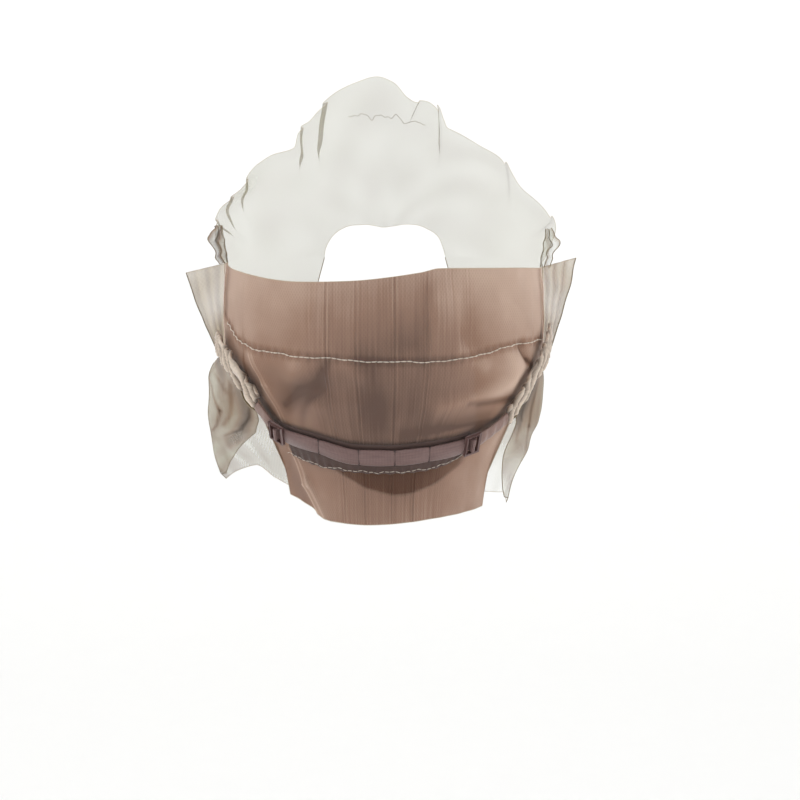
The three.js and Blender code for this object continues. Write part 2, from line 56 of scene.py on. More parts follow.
# Lace: how it stands off the head, in millimetres
EASE = 2.5
LAYER = 1.6
CROWN_LIFT = 27.0
CHEEK_STAND = 27.0
WING_LEFT = 21.0
WING_RIGHT = 18.0
WING_ROOT = 4.0
LEFT_WING_DIP = 5.0
RIGHT_WING_RISE = 5.0
FOLD_HEIGHT = 3.0
FOLD_WIDTH = 5.0
FOLD_HUSH = 16.0
HEM_TUCK = 0.9
SIDE_TUCK = 5.0
SIDE_TUCK_FROM = 66.0
SIDE_TUCK_TO = 82.0
CASING_TUCK = 1.6

# Layers of the strap over the lace, each the distance of its middle off the head
CASING_OUT = 0.9
RIBBON_OUT = 4.1
STRAP_OUT = 5.8
ELASTIC_OUT = 6.65
SLIDER_OUT = 7.9
RIBBON_ABOVE = 6.5
STRAP_WIDTH = 8.0
STRAP_WALL = 1.2
RIBBON_WALL = 0.7
ELASTIC_WIDTH = 9.0
SLIDER_LENGTH = 8.6
SLIDER_WIDTH = 11.5
SLIDER_WALL = 1.2
SLIDER_BAR = 1.3

# Places round the head, in degrees from the back seam
SEAM_TURN = 88.0
EAR_TURN = 90.0
FLAP_LEFT = -58.0
FLAP_RIGHT = 66.0
FLAP_EDGE = 1.6
LEFT_SLIDER_TURN = -46.7
RIGHT_SLIDER_TURN = 39.0
LEFT_TAPE_END = -54.2
RIGHT_TAPE_END = 55.5
LEFT_ELASTIC_END = -84.0
RIGHT_ELASTIC_END = 84.0
END_GAP = 0.45
CROWN_REAR_TOP = 15.0
CROWN_REAR_SIDE = 1.0
CROWN_FADE = 1.5
FACE_TOP = 77.6
FACE_SIDE = 66.0
CORNER_SHARE = 0.9


def table(columns, *rows):
    """A table of numbers with named columns."""
    return {name: np.array(values, float) for name, values in zip(columns.split(), zip(*rows))}


# Head form by level: shares of the nape drop, the half breadth and the back depth
FORM = table(
    "level wide back",
    (-1.0, 0.665, 0.63), (-0.84, 0.7, 0.665), (-0.72, 0.77, 0.725), (-0.6, 0.88, 0.815),
    (-0.48, 0.965, 0.9),
    (-0.36, 1.02, 0.965), (-0.2, 1.02, 1.0), (0.0, 1.0, 1.0), (0.2, 0.985, 0.97),
)

# Edges and seams of the back lace, as shares of the nape drop
TOP_EDGE = table(
    "turn level",
    (-90, 0.0), (-60, -0.026), (-32, -0.047), (-13, -0.041), (13, -0.009), (20, 0.006), (45, 0.0),
    (90, -0.024),
)
FLAP_HEM = table(
    "turn level",
    (-58, -0.905), (-48, -0.923), (-40, -0.944), (-34, -0.976), (-28, -0.992), (-10, -1.0),
    (31, -0.978), (66, -0.96),
)
SEAM_LINE = table(
    "turn level",
    (-90, -0.2), (-72, -0.235), (-68, -0.259), (-64, -0.284), (-55.5, -0.307), (-46, -0.321),
    (-30, -0.331),
    (-18, -0.336), (-3, -0.345), (9, -0.347), (26, -0.343), (35, -0.327), (49.5, -0.305),
    (64, -0.299), (90, -0.305),
)

# Middle line of strap, tapes and elastics, and the hems of ribbon and casing, as shares of their own drops
STRAP_LINE = table(
    "turn level",
    (-88, -0.43), (-77, -0.467), (-65, -0.561), (-59, -0.65), (-54.7, -0.744), (-46.7, -0.889),
    (-28, -0.95),
    (-12, -1.0), (3, -1.004), (20.5, -0.986), (39, -0.944), (56, -0.817), (61, -0.722), (65, -0.633),
    (72, -0.533), (82, -0.444), (88, -0.42),
)
RIBBON_HEM = table(
    "turn level",
    (-46, -0.935), (-28, -0.985), (0, -1.005), (14, -1.0), (28, -0.977), (39, -0.925),
)
CASING_HEM = table(
    "turn level",
    (-26, -0.88), (-19, -0.919), (-7.5, -0.972), (8, -1.0), (25, -0.963), (41, -0.87),
)

# Folds of the back lace along lines: levels are shares of the nape drop, and widths and heights are shares
# of FOLD_WIDTH and FOLD_HEIGHT
FOLDS = table(
    "turn level to_turn to_level width height",
    (-54, -0.34, -47.5, -0.456, 0.7, 0.3),
    (-47.5, -0.456, -44, -0.6, 0.7, 0.35),
    (-58, -0.43, -50, -0.57, 0.8, -0.6),
    (-22, -0.385, -24, -0.44, 1.1, -0.35),
    (-24, -0.44, -32, -0.465, 1.1, -0.5),
    (-32, -0.465, -41, -0.54, 1.1, -0.55),
    (-31, -0.36, -33, -0.42, 1.1, 0.6),
    (-27, -0.53, -36, -0.6, 1.1, 0.8),
    (22, -0.53, 54, -0.46, 1, 0.9),
    (8, -0.64, 46, -0.58, 0.7, -0.8),
    (58, -0.31, 66, -0.4, 0.6, -0.87),
    (49, -0.34, 58, -0.4, 0.9, 0.5),
    (28, -0.31, 37, -0.37, 0.8, 0.5),
    (15.5, -0.08, 11, -0.27, 1.2, -0.5),
    (22, -0.12, 19, -0.28, 1.3, 0.35),
    (-13, -0.345, -8, -0.41, 0.8, 0.5),
    (-5, -0.36, -2, -0.6, 1.4, -0.5),
    (3, -0.4, 5, -0.62, 1.4, 0.4),
    (-48, -0.7, -42, -0.85, 0.7, 0.4),
    (-42, -0.85, -33, -0.99, 0.7, 0.45),
)

# Sharp creases between them, narrow beside the folds
CREASES = table(
    "turn level to_turn to_level width height",
    (-54.5, -0.34, -48.2, -0.456, 0.11, 0.14),
    (-48.2, -0.456, -45, -0.6, 0.11, 0.14),
    (-52.6, -0.34, -46.2, -0.456, 0.11, 0.08),
    (-46.2, -0.456, -43, -0.6, 0.11, 0.08),
    (-48.5, -0.71, -43.5, -0.856, 0.13, 0.18),
    (-43.5, -0.856, -34.5, -0.99, 0.13, 0.2),
    (-46, -0.72, -40.5, -0.86, 0.13, 0.12),
    (-40.5, -0.86, -31.5, -0.99, 0.13, 0.12),
    (33, -0.52, 67, -0.515, 0.32, -0.18),
    (-20, -0.36, -23, -0.44, 0.45, -0.14),
    (-22, -0.42, -35, -0.6, 0.5, -0.14),
)

# Lines along which the net lies in shade, under the strap's upper edge and in the mouths of folds
SHADES = table(
    "turn level to_turn to_level width height",
    (57.8, -0.32, 63, -0.37, 0.2, 0.3),
    (63, -0.37, 72, -0.43, 0.26, 0.45),
    (-62, -0.4, -57.5, -0.464, 0.3, 0.6),
    (-57.5, -0.464, -48.5, -0.598, 0.34, 0.65),
    (-48.5, -0.598, -43, -0.63, 0.32, 0.45),
    (-43, -0.63, -23, -0.665, 0.3, 0.3),
    (-23, -0.665, 1.2, -0.69, 0.22, 0.2),
    (1.2, -0.69, 33.5, -0.69, 0.25, 0.25),
    (33.5, -0.68, 43, -0.625, 0.42, 0.6),
    (43, -0.625, 58.5, -0.585, 0.28, 0.3),
    (8.5, -0.635, 29, -0.616, 0.22, 0.16),
    (29, -0.616, 55, -0.59, 0.22, 0.2),
    (38, -0.53, 67, -0.517, 0.26, 0.14),
    (-22, -0.385, -24, -0.44, 0.5, 0.08),
    (-24, -0.44, -32, -0.465, 0.4, 0.12),
    (-32, -0.465, -41, -0.53, 0.3, 0.2),
    (-50, -0.44, -28, -0.52, 2.4, 0.14),
    (-54, -0.78, -46, -0.93, 1.8, 0.14),
    (-72, -0.31, -62, -0.42, 1.2, 0.14),
)

# Creases of the cheeks' lace: along counts CHEEK_SPAN from rear edge to face edge, and levels are those of
# the cheeks
CHEEK_SPAN = 60.0
LEFT_CHEEK_CREASES = table(
    "along level to_along to_level width height",
    (22, -0.66, 15, -0.9, 0.22, 0.3),
    (15, -0.9, 17.5, -1.08, 0.22, 0.34),
    (17.5, -1.08, 20, -1.5, 0.18, 0.26),
    (20, -1.5, 13, -1.85, 0.22, 0.16),
    (7, -0.72, 13, -0.98, 0.26, 0.26),
    (3, -0.86, 10, -1.14, 0.2, 0.22),
    (18, -0.62, 10, -0.78, 0.26, 0.14),
    (10, -1.14, 3, -1.42, 0.24, 0.12),
)
RIGHT_CHEEK_CREASES = table(
    "along level to_along to_level width height",
    (9, -0.66, 11, -1.0, 0.22, 0.26),
    (11, -1.0, 14, -1.5, 0.2, 0.26),
    (14, -1.5, 12, -1.9, 0.16, 0.2),
    (4, -0.78, 6, -1.2, 0.2, 0.18),
    (14, -0.7, 17, -1.1, 0.26, 0.16),
)

# Rear edge of the front lace over the crown: lift off the head as a share of the crown lift
CROWN_EDGE = table(
    "turn lift",
    (-90, 0.16), (-80, 0.4), (-73, 0.45), (-68, 0.36), (-61, 0.27), (-55, 0.32), (-48, 0.3), (-39, 0.15),
    (-33, 0.39), (-28, 0.46), (-22, 0.63), (-15, 0.84), (-8, 0.93), (-2, 1.0), (3, 0.92), (8, 0.67),
    (11, 0.6),
    (15, 0.63), (19, 0.58), (23, 0.39), (26, 0.27), (38, 0.26), (49, 0.27), (61, 0.22), (71, 0.36),
    (78, 0.49),
    (84, 0.34), (90, 0.15),
)

# Pleats where the crown's lace doubles back: where each starts and how far it turns aside on its way to the
# face, half width and overlap, all in degrees, then the step between the layers in millimetres and its run
# as a share
CROWN_PLEATS = table(
    "turn skew width overlap step run",
    (-76, -20, 1.5, 2.4, 0.6, 0.4),
    (-67, -40, 1.6, 2.7, 0.7, 0.45),
    (-59, -40, 1.6, 2.7, 0.6, 0.45),
    (-31.6, -34, 1.7, 3.0, 0.9, 0.5),
    (-20.5, -34, 2.3, 5.2, 1.0, 0.55),
    (12.5, -10, 1.3, 1.8, 0.5, 0.3),
    (19.5, 24, 2.0, 4.2, 1.0, 0.55),
    (51, 40, 1.6, 2.4, 0.6, 0.45),
    (75, 20, 1.5, 2.4, 0.7, 0.4),
)

# Cheeks by level: 0 the origin, -1 the corner under the elastic, -2 the tip. Out and far are shares of the
# half breadth, lap counts layers, off is a share of the cheek stand, and rear and face are degrees round
# the head
LEFT_CHEEK = table(
    "level out lap off far rear face",
    (-2.0, 1.087, 0, 1, 0.93, 93, 136), (-1.82, 1.107, 0, 0.89, 0.945, 88, 136.5),
    (-1.57, 1.13, 0, 0.7, 0.96, 80, 137), (-1.22, 1.155, 1, 0.39, 0.98, 69, 138),
    (-1.0, 1.165, 1, 0.2, 0.99, 60, 138.5), (-0.91, 1.172, 1, 0.02, 1.0, 58, 139),
    (-0.83, 1.172, 1, 0, 1.01, 59, 140), (-0.72, 1.165, 0.8, 0, 1.02, 62, 142),
    (-0.62, 1.125, 0.3, 0, 1.03, 69, 144), (-0.55, 1.075, 0, 0, 1.03, 82, 146),
    (-0.51, 1.062, 0.2, 0, 1.03, 88.4, 148), (-0.24, 1.058, 0.2, 0, 1.035, 88.4, 152),
    (0.0, 1.058, 1, 0, 1.033, 91, 156),
)
RIGHT_CHEEK = table(
    "level out lap off far rear face",
    (-2.0, 0.824, 1, 0.26, 0.86, 93, 136), (-1.79, 0.853, 1, 0.16, 0.88, 85, 136.5),
    (-1.55, 0.9, 1, 0.11, 0.9, 77, 137), (-1.34, 0.955, 1, 0.11, 0.93, 72, 137.5),
    (-1.15, 0.985, 1, 0.11, 0.95, 69, 138), (-0.96, 1.035, 1, 0.08, 0.98, 65, 139),
    (-0.9, 1.045, 1, 0.03, 0.99, 64, 140), (-0.8, 1.052, 1, 0, 1.01, 65, 141),
    (-0.7, 1.06, 1, 0, 1.02, 69, 142), (-0.6, 1.06, 0.5, 0, 1.03, 77, 145),
    (-0.54, 1.058, 0.2, 0, 1.03, 86, 147), (-0.49, 1.055, 0.2, 0, 1.03, 88.4, 149),
    (-0.24, 1.054, 0.2, 0, 1.035, 88.4, 152), (0.0, 1.054, 1, 0, 1.033, 91, 156),
)
LEFT_HEM = table("along rise", (0, 0), (0.25, 0.2), (0.5, 0.3), (0.75, -0.5), (1, -1.2))
RIGHT_HEM = table("along rise", (0, 0), (0.2, 0.3), (0.5, 0.1), (1, -0.2))


def smooth(rows, key, column, at):
    """Value of one column at places along a table, smooth and without overshoot."""
    x, y = rows[key], rows[column]
    slope = np.diff(y) / np.diff(x)
    product = slope[:-1] * slope[1:]
    middle = np.where(product > 0, 2 * product / np.where(product > 0, slope[:-1] + slope[1:], 1), 0)
    tangent = np.concatenate([slope[:1], middle, slope[-1:]])
    at = np.clip(np.asarray(at, float), x[0], x[-1])
    i = np.clip(np.searchsorted(x, at, side="right") - 1, 0, len(x) - 2)
    width = x[i + 1] - x[i]
    t = (at - x[i]) / width
    return (
        (2 * t**3 - 3 * t**2 + 1) * y[i]
        + (t**3 - 2 * t**2 + t) * width * tangent[i]
        + (3 * t**2 - 2 * t**3) * y[i + 1]
        + (t**3 - t**2) * width * tangent[i + 1]
    )


def uneven_waves(share, draw, counts):
    """Slow waves along a piece, one for each count, which make its pitch uneven."""
    total = 0
    for count in counts:
        total = total + draw.uniform(0.15, 0.4) * np.sin(share * 2 * math.pi * count + draw.uniform(0, 6))
    return total


def ease(start, stop, at):
    t = np.clip((np.asarray(at, float) - start) / (stop - start), 0, 1)
    return t * t * (3 - 2 * t)


def blend(start, stop, share):
    return start + (stop - start) * share


def bell(away):
    return np.exp(-away * away)


def crumple(along, down, pitch, seed, waves=7):
    """Soft irregular waves about one high, of a given pitch in millimetres."""
    draw = np.random.default_rng(seed)
    total = np.zeros(np.broadcast(along, down).shape)
    for _ in range(waves):
        heading = draw.uniform(0, math.pi)
        length = pitch * draw.uniform(0.7, 1.6)
        phase = draw.uniform(0, 2 * math.pi)
        place = along * math.cos(heading) + down * math.sin(heading)
        total += np.sin(place * 2 * math.pi / length + phase)
    return total / math.sqrt(waves)


# Shape of the head and of what lies on it
def wall_point(turn, level, out):
    """A point that stands off the head form by out, at degrees from the back seam."""
    wide = HALF_BREADTH * smooth(FORM, "level", "wide", level / NAPE_DROP) + out
    back = BACK_DEPTH * smooth(FORM, "level", "back", level / NAPE_DROP) + out
    angle = np.radians(turn)
    return np.stack(np.broadcast_arrays(wide * np.sin(angle), -back * np.cos(angle), level), axis=-1)


def strap_level(turn):
    return STRAP_DROP * smooth(STRAP_LINE, "turn", "level", turn)


def seam_level(turn):
    return NAPE_DROP * smooth(SEAM_LINE, "turn", "level", turn)


def top_level(turn):
    return NAPE_DROP * smooth(TOP_EDGE, "turn", "level", turn)


def hem_level(turn):
    side = strap_level(turn) - HEM_TUCK - SIDE_TUCK * ease(SIDE_TUCK_FROM, SIDE_TUCK_TO, np.abs(turn))
    flap = NAPE_DROP * smooth(FLAP_HEM, "turn", "level", turn)
    hangs = ease(FLAP_LEFT - FLAP_EDGE, FLAP_LEFT, turn)
    hangs = hangs * (1 - ease(FLAP_RIGHT, FLAP_RIGHT + FLAP_EDGE, turn))
    return blend(side, flap, hangs)


ARC = HALF_BREADTH * math.pi / 180


def line_folds(rows, turn, level):
    """Height of the ridges and valleys that run along a table's lines."""
    total = np.zeros(np.broadcast(turn, level).shape)
    for start, top, stop, low, width, height in zip(*rows.values()):
        run = np.array([(stop - start) * ARC, (low - top) * NAPE_DROP])
        across = (turn - start) * ARC
        down = level - top * NAPE_DROP
        share = np.clip((across * run[0] + down * run[1]) / (run @ run), 0, 1)
        away = np.hypot(across - share * run[0], down - share * run[1]) / (FOLD_WIDTH * width)
        total += FOLD_HEIGHT * height * bell(away)
    return total


# Fine work of the back lace, in millimetres: tucks sewn in pairs from top edge to hem, puckers at the seam
# and ripples all over
PLEATS_FROM = -32.0
PLEATS_TO = 38.0
TUCK_TURNS = (-20.0, -9.3, 4.1, 15.3)
TUCK_SPACING = 1.9
TUCK_WIDTH = 0.36
TUCK_HEIGHT = 0.35
PUCKER_PITCH = 4.6
PUCKER_HEIGHT = 0.3
PUCKER_REACH = 3.0
RIPPLE_HEIGHT = 0.22
RIPPLE_PITCH = 17.0


def tucks(turn):
    """One along each line of the paired tucks, nought between them."""
    total = np.zeros(np.shape(turn))
    for place in TUCK_TURNS:
        for side in (-0.5, 0.5):
            total += bell(((turn - place) * ARC - side * TUCK_SPACING) / TUCK_WIDTH)
    return total


def tuck_nearness(turn):
    """How far a place is from the nearest pair of tucks, in spacings."""
    return np.min([np.abs((turn - place) * ARC) for place in TUCK_TURNS], axis=0) / TUCK_SPACING


def pleat_zone(turn):
    return ease(PLEATS_FROM, PLEATS_FROM + 12, turn) * (1 - ease(PLEATS_TO - 12, PLEATS_TO, turn))


def lace_out(turn, level):
    """How far the back lace stands off the head form."""
    near = (level - strap_level(turn)) / FOLD_HUSH
    folds = line_folds(FOLDS, turn, level) * (1 - np.exp(-near**4))
    fine = line_folds(CREASES, turn, level) + TUCK_HEIGHT * tucks(turn)
    seam = bell((level - seam_level(turn)) / PUCKER_REACH)
    fine += PUCKER_HEIGHT * seam * np.sin(turn * ARC * 2 * math.pi / PUCKER_PITCH)
    fine += RIPPLE_HEIGHT * crumple(turn * ARC, level, RIPPLE_PITCH, 3)
    return EASE + folds + fine * (1 - 0.8 * np.exp(-(near * 2) ** 4))


# Mesh making
def link(name, mesh, material):
    piece = bpy.data.objects.new(name, mesh)
    bpy.context.scene.collection.objects.link(piece)
    mesh.materials.append(material)
    mesh.polygons.foreach_set("use_smooth", [True] * len(mesh.polygons))
    return piece


def grid_piece(name, points, material, marks=None, ring=False):
    """A smooth mesh through a grid of points in millimetres, with marks by point for its material."""
    columns, rows = points.shape[:2]
    index = np.arange(columns * rows).reshape(columns, rows)
    if ring:
        index = np.concatenate([index, index[:, :1]], axis=1)
    corners = [index[:-1, :-1], index[:-1, 1:], index[1:, 1:], index[1:, :-1]]
    faces = np.stack(corners, axis=-1).reshape(-1, 4).tolist()
    if ring:
        faces += [index[0, :-1][::-1].tolist(), index[-1, :-1].tolist()]
    mesh = bpy.data.meshes.new(name)
    mesh.from_pydata((points.reshape(-1, 3) * MM).tolist(), [], faces)
    along = np.linalg.norm(np.diff(points, axis=0, prepend=points[:1]), axis=-1)
    down = np.linalg.norm(np.diff(points, axis=1, prepend=points[:, :1]), axis=-1)
    across = np.broadcast_to(np.cumsum(along.mean(axis=1))[:, None], (columns, rows))
    cloth = np.stack([across, np.cumsum(down, axis=1), np.zeros((columns, rows))], axis=-1)
    mesh.attributes.new("cloth_mm", "FLOAT_VECTOR", "POINT").data.foreach_set("vector", cloth.ravel())
    for mark, values in (marks or {}).items():
        flat = np.broadcast_to(values, (columns, rows)).astype(np.float32).ravel()
        mesh.attributes.new(mark, "FLOAT", "POINT").data.foreach_set("value", flat)
    return link(name, mesh, material)


def dress(piece, slot, *nodes):
    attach(piece, "root")
    if nodes:
        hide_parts(*nodes)
    return piece


def tube_points(path, outward, radius, sides):
    """Rings of points round paths: path and outward are (..., n, 3), radius is a number or (n,)."""
    along = np.gradient(path, axis=-2)
    along /= np.linalg.norm(along, axis=-1, keepdims=True)
    up = outward - (outward * along).sum(axis=-1, keepdims=True) * along
    up /= np.linalg.norm(up, axis=-1, keepdims=True)
    aside = np.cross(along, up)
    angle = np.arange(sides) * 2 * math.pi / sides
    spread = np.broadcast_to(radius, path.shape[:-1])[..., None, None]
    rings = np.cos(angle)[:, None] * up[..., None, :] + np.sin(angle)[:, None] * aside[..., None, :]
    return path[..., None, :] + spread * rings


def tubes_piece(name, bundles, material):
    """One mesh of many tubes: each bundle is an array (tubes, rings, sides, 3) in millimetres."""
    points, faces, start = [], [], 0
    for bundle in bundles:
        count, rings, sides = bundle.shape[:3]
        index = start + np.arange(count * rings * sides).reshape(count, rings, sides)
        turned = np.roll(index, -1, axis=2)
        quads = np.stack([index[:, :-1], turned[:, :-1], turned[:, 1:], index[:, 1:]], axis=-1)
        faces += quads.reshape(-1, 4).tolist()
        faces += index[:, 0, ::-1].tolist() + index[:, -1].tolist()
        points.append(bundle.reshape(-1, 3))
        start += count * rings * sides
    mesh = bpy.data.meshes.new(name)
    mesh.from_pydata((np.concatenate(points) * MM).tolist(), [], faces)
    return link(name, mesh, material)


def along_path(path, places):
    """Points of a path at distances along it."""
    steps = np.linalg.norm(np.diff(path, axis=0), axis=-1)
    reach = np.concatenate([[0], np.cumsum(steps)])
    return np.stack([np.interp(places, reach, path[:, axis]) for axis in range(3)], axis=-1)


def path_length(path):
    return np.linalg.norm(np.diff(path, axis=0), axis=-1).sum()


def outward_of(path):
    """Unit vectors away from the head's middle line, for a path round it."""
    away = path * np.array([1.0, 1.0, 0.0])
    return away / np.linalg.norm(away, axis=-1, keepdims=True)


def stitches_round(path, length, gap, radius, lift=0.25, wander=0.0, seed=1):
    """Stitches whose arches stand away from the head."""
    total = path_length(path)
    count = max(1, int(total / (length + gap)))
    draw = np.random.default_rng(seed)
    share = np.linspace(0, 1, 6)
    places = (np.arange(count) * total / count)[:, None] + share * length
    thread = along_path(path, places)
    normals = outward_of(thread)
    drift = draw.normal(0, wander, (count, 1, 1)) * np.array([0, 0, 1.0])
    thread = thread + normals * (lift * np.sin(share * math.pi))[:, None] + drift
    thickness = radius * (0.45 + 0.55 * np.sin(share * math.pi) ** 0.5)
    return tube_points(thread, normals, thickness, 6)


def strand(path, radius, sides=6):
    """One long thread along a path, such as a cut edge's last strand."""
    return tube_points(path, outward_of(path), radius, sides)[None]


# Materials
def linear(colour):
    """An sRGB hex colour as linear RGBA."""
    parts = [int(colour[i:i + 2], 16) / 255 for i in (1, 3, 5)]
    return tuple(p / 12.92 if p <= 0.04045 else ((p + 0.055) / 1.055) ** 2.4 for p in parts) + (1.0,)


def add_node(tree, kind, settings=None, links=None, values=None):
    """Adds a node with its properties, links from other outputs to its inputs, and its own input values."""
    node = tree.nodes.new(kind)
    for key, value in (settings or {}).items():
        setattr(node, key, value)
    for key, value in (values or {}).items():
        node.inputs[key].default_value = value
    for key, output in (links or {}).items():
        tree.links.new(output, node.inputs[key])
    return node


def new_material(name, **surface):
    """A material and its surface shader, with plain values set on the shader's own sockets."""
    material = bpy.data.materials.new(name)
    material.use_nodes = True
    shader = material.node_tree.nodes["Principled BSDF"]
    for key, value in surface.items():
        shader.inputs[key.replace("_", " ")].default_value = value
    return material, material.node_tree, shader


def maths(tree, operation, *parts):
    """Result of a sum on numbers and other results."""
    node = add_node(tree, "ShaderNodeMath", {"operation": operation})
    for i, part in enumerate(parts):
        if isinstance(part, (int, float)):
            node.inputs[i].default_value = part
        else:
            tree.links.new(part, node.inputs[i])
    return node.outputs[0]


def cloth_place(tree):
    """The two outputs that say where a point lies in its cloth, across and down, in millimetres."""
    place = add_node(tree, "ShaderNodeAttribute", {"attribute_name": "cloth_mm"})
    parts = add_node(tree, "ShaderNodeSeparateXYZ", links={0: place.outputs["Vector"]})
    return place.outputs["Vector"], parts.outputs[0], parts.outputs[1]


def mark_value(tree, mark):
    """A mark of the mesh's points."""
    return add_node(tree, "ShaderNodeAttribute", {"attribute_name": mark}).outputs["Fac"]


def noise(tree, place, scale, detail, roughness=0.5):
    """Cloudy noise about a half."""
    values = {"Scale": scale, "Detail": detail, "Roughness": roughness}
    return add_node(tree, "ShaderNodeTexNoise", values=values, links={"Vector": place}).outputs["Fac"]


def stretched(tree, place, scale):
    """A place drawn out, for noise that runs in streaks."""
    return add_node(tree, "ShaderNodeMapping", values={"Scale": scale}, links={"Vector": place}).outputs[0]


def swing(tree, value, amount):
    """Noise turned about nought, times an amount."""
    return maths(tree, "MULTIPLY", maths(tree, "SUBTRACT", value, 0.5), amount)


def mixed(tree, share, first, second):
    """A colour between two."""
    mix = add_node(tree, "ShaderNodeMix", {"data_type": "RGBA"}, {0: share})
    mix.inputs[6].default_value = linear(first)
    mix.inputs[7].default_value = linear(second)
    return mix.outputs[2]


def roughen(tree, shader, strength, distance, height):
    """Lets a height show as relief on the surface, its distance in metres."""
    values = {"Strength": strength, "Distance": distance}
    relief = add_node(tree, "ShaderNodeBump", values=values, links={"Height": height})
    tree.links.new(relief.outputs[0], shader.inputs["Normal"])


def threads(tree, across, down, slant, pitch, sharpness):
    """One near a set of parallel threads, nought between them."""
    lean = math.radians(slant)
    place = maths(
        tree, "ADD", maths(tree, "MULTIPLY", across, math.cos(lean) * math.pi / pitch),
        maths(tree, "MULTIPLY", down, math.sin(lean) * math.pi / pitch),
    )
    wave = maths(tree, "ABSOLUTE", maths(tree, "COSINE", place))
    return maths(tree, "POWER", wave, sharpness)


# Nylon tulle has a hexagonal hole of about 0.8 mm. It is drawn at 1.3 mm, because finer is lost in the
# render
NET_PITCH = 1.3
NET_SLANT = 32
NET_SHARPNESS = 5


def nylon_net(name, film, light, pale, middle, deep):
    """Soft nylon net: a thin film from afar, a net of threads close by, with fine streaks of painted shade
    and highlight along small pleats.
    """
    material, tree, shader = new_material(
        name, Roughness=0.62, IOR=1.53, Sheen_Weight=0.1, Sheen_Roughness=0.4, Specular_IOR_Level=0.3
    )
    vector, across, down = cloth_place(tree)
    cover, tone, pleat_shade_streaks = (mark_value(tree, mark) for mark in ("cover", "tone", "pleat_shade_streaks"))
    slants = NET_SLANT, -NET_SLANT
    net = maths(tree, "MAXIMUM", *(threads(tree, across, down, s, NET_PITCH, NET_SHARPNESS) for s in slants))
    pleat_noise = noise(tree, stretched(tree, vector, (1.7, 0.03, 1.0)), 0.62, 2.0, 0.6)
    patchy = swing(tree, noise(tree, vector, 0.05, 3.0), 0.2)
    # Painted shade and highlight: fine streaks along the small pleats, as strong as the mesh's pleat streak
    # mark
    lines = swing(tree, pleat_noise, maths(tree, "MULTIPLY", pleat_shade_streaks, 0.42))
    fine = maths(tree, "ADD", lines, maths(tree, "MULTIPLY", net, -0.025))
    shade = maths(tree, "ADD", maths(tree, "ADD", tone, patchy), fine)
    # Tone runs the colour from film to deep: it holds the net's doubling and the painted shade and
    # highlights given to it
    ramp = add_node(tree, "ShaderNodeValToRGB", links={0: shade})
    stops = ramp.color_ramp.elements
    stops[0].position, stops[0].color = 0.0, linear(film)
    stops[1].position, stops[1].color = 1.0, linear(deep)
    for place, colour in ((0.1, light), (0.22, pale), (0.58, middle)):
        stops.new(place).color = linear(colour)
    tree.links.new(ramp.outputs[0], shader.inputs["Base Color"])
    holes = maths(tree, "MULTIPLY_ADD", net, 0.07, 0.965)
    alpha = maths(tree, "MINIMUM", maths(tree, "MULTIPLY", cover, holes), 1.0)
    tree.links.new(alpha, shader.inputs["Alpha"])
    ridges = maths(tree, "MULTIPLY", pleat_noise, maths(tree, "MULTIPLY", pleat_shade_streaks, 3.0))
    roughen(tree, shader, 0.2, 0.0002, maths(tree, "ADD", net, ridges))
    return material


def ruched_tube(name, colour, dark):
    """Elastic run through a tube of lace: satin lace, with painted highlights on its ruches and painted
    shade between them.
    """
    material, tree, shader = new_material(
        name, Roughness=0.5, IOR=1.53, Sheen_Weight=0.3, Sheen_Roughness=0.35, Specular_IOR_Level=0.45
    )
    vector, across, down = cloth_place(tree)
    share = maths(tree, "ADD", mark_value(tree, "tone"), swing(tree, noise(tree, vector, 0.5, 4.0), 0.7))
    tree.links.new(mixed(tree, share, colour, dark), shader.inputs["Base Color"])
    roughen(tree, shader, 0.4, 0.0003, threads(tree, across, down, 90, 1.1, 2))
    return material


def woven_tape(name, colour, dark, roughness, rib_pitch, sheen, streak=0.35):
    """Woven polyester tape: fine ribs across it, and floats of thread that catch the light unevenly."""
    material, tree, shader = new_material(
        name, Roughness=roughness, IOR=1.5, Sheen_Weight=sheen, Sheen_Roughness=0.3, Specular_IOR_Level=0.5
    )
    vector, across, down = cloth_place(tree)
    ribs = threads(tree, across, down, 0, rib_pitch, 2)
    weave = threads(tree, across, down, 90, rib_pitch * 0.8, 2)
    cloud = noise(tree, stretched(tree, vector, (0.18, 2.2, 1.0)), 0.6, 4.0)
    floats = maths(tree, "MULTIPLY", cloud, streak * 2)
    share = maths(tree, "ADD", maths(tree, "MULTIPLY", ribs, 0.3), floats)
    tree.links.new(mixed(tree, share, dark, colour), shader.inputs["Base Color"])
    roughen(tree, shader, 0.5, 0.00025, maths(tree, "ADD", ribs, maths(tree, "MULTIPLY", weave, 0.5)))
    return material


def moulded_acetal(name, colour):
    """Moulded acetal resin, dyed through: smooth and waxy, with faint flow marks."""
    material, tree, shader = new_material(
        name, Roughness=0.33, IOR=1.48, Coat_Weight=0.15, Coat_Roughness=0.2
    )
    flow = noise(tree, add_node(tree, "ShaderNodeTexCoord").outputs["Object"], 600.0, 2.0)
    shade = maths(tree, "MULTIPLY_ADD", flow, 0.3, 0.85)
    tint = add_node(tree, "ShaderNodeMix", {"data_type": "RGBA", "blend_type": "MULTIPLY"}, values={0: 1.0})
    tint.inputs[6].default_value = linear(colour)
    tree.links.new(shade, tint.inputs[7])
    tree.links.new(tint.outputs[2], shader.inputs["Base Color"])
    roughen(tree, shader, 0.1, 0.0002, flow)
    return material


def flecked(name, colour, scale, detail, dark, **surface):
    """A matt material whose colour is flecked with a darker shade of itself."""
    material, tree, shader = new_material(name, **surface)
    place = add_node(tree, "ShaderNodeTexCoord").outputs["Object"]
    ramp = add_node(tree, "ShaderNodeValToRGB", links={0: noise(tree, place, scale, detail)})
    ramp.color_ramp.elements[0].color = tuple(c * dark for c in linear(colour)[:3]) + (1.0,)
    ramp.color_ramp.elements[1].color = linear(colour)
    tree.links.new(ramp.outputs[0], shader.inputs["Base Color"])
    return material


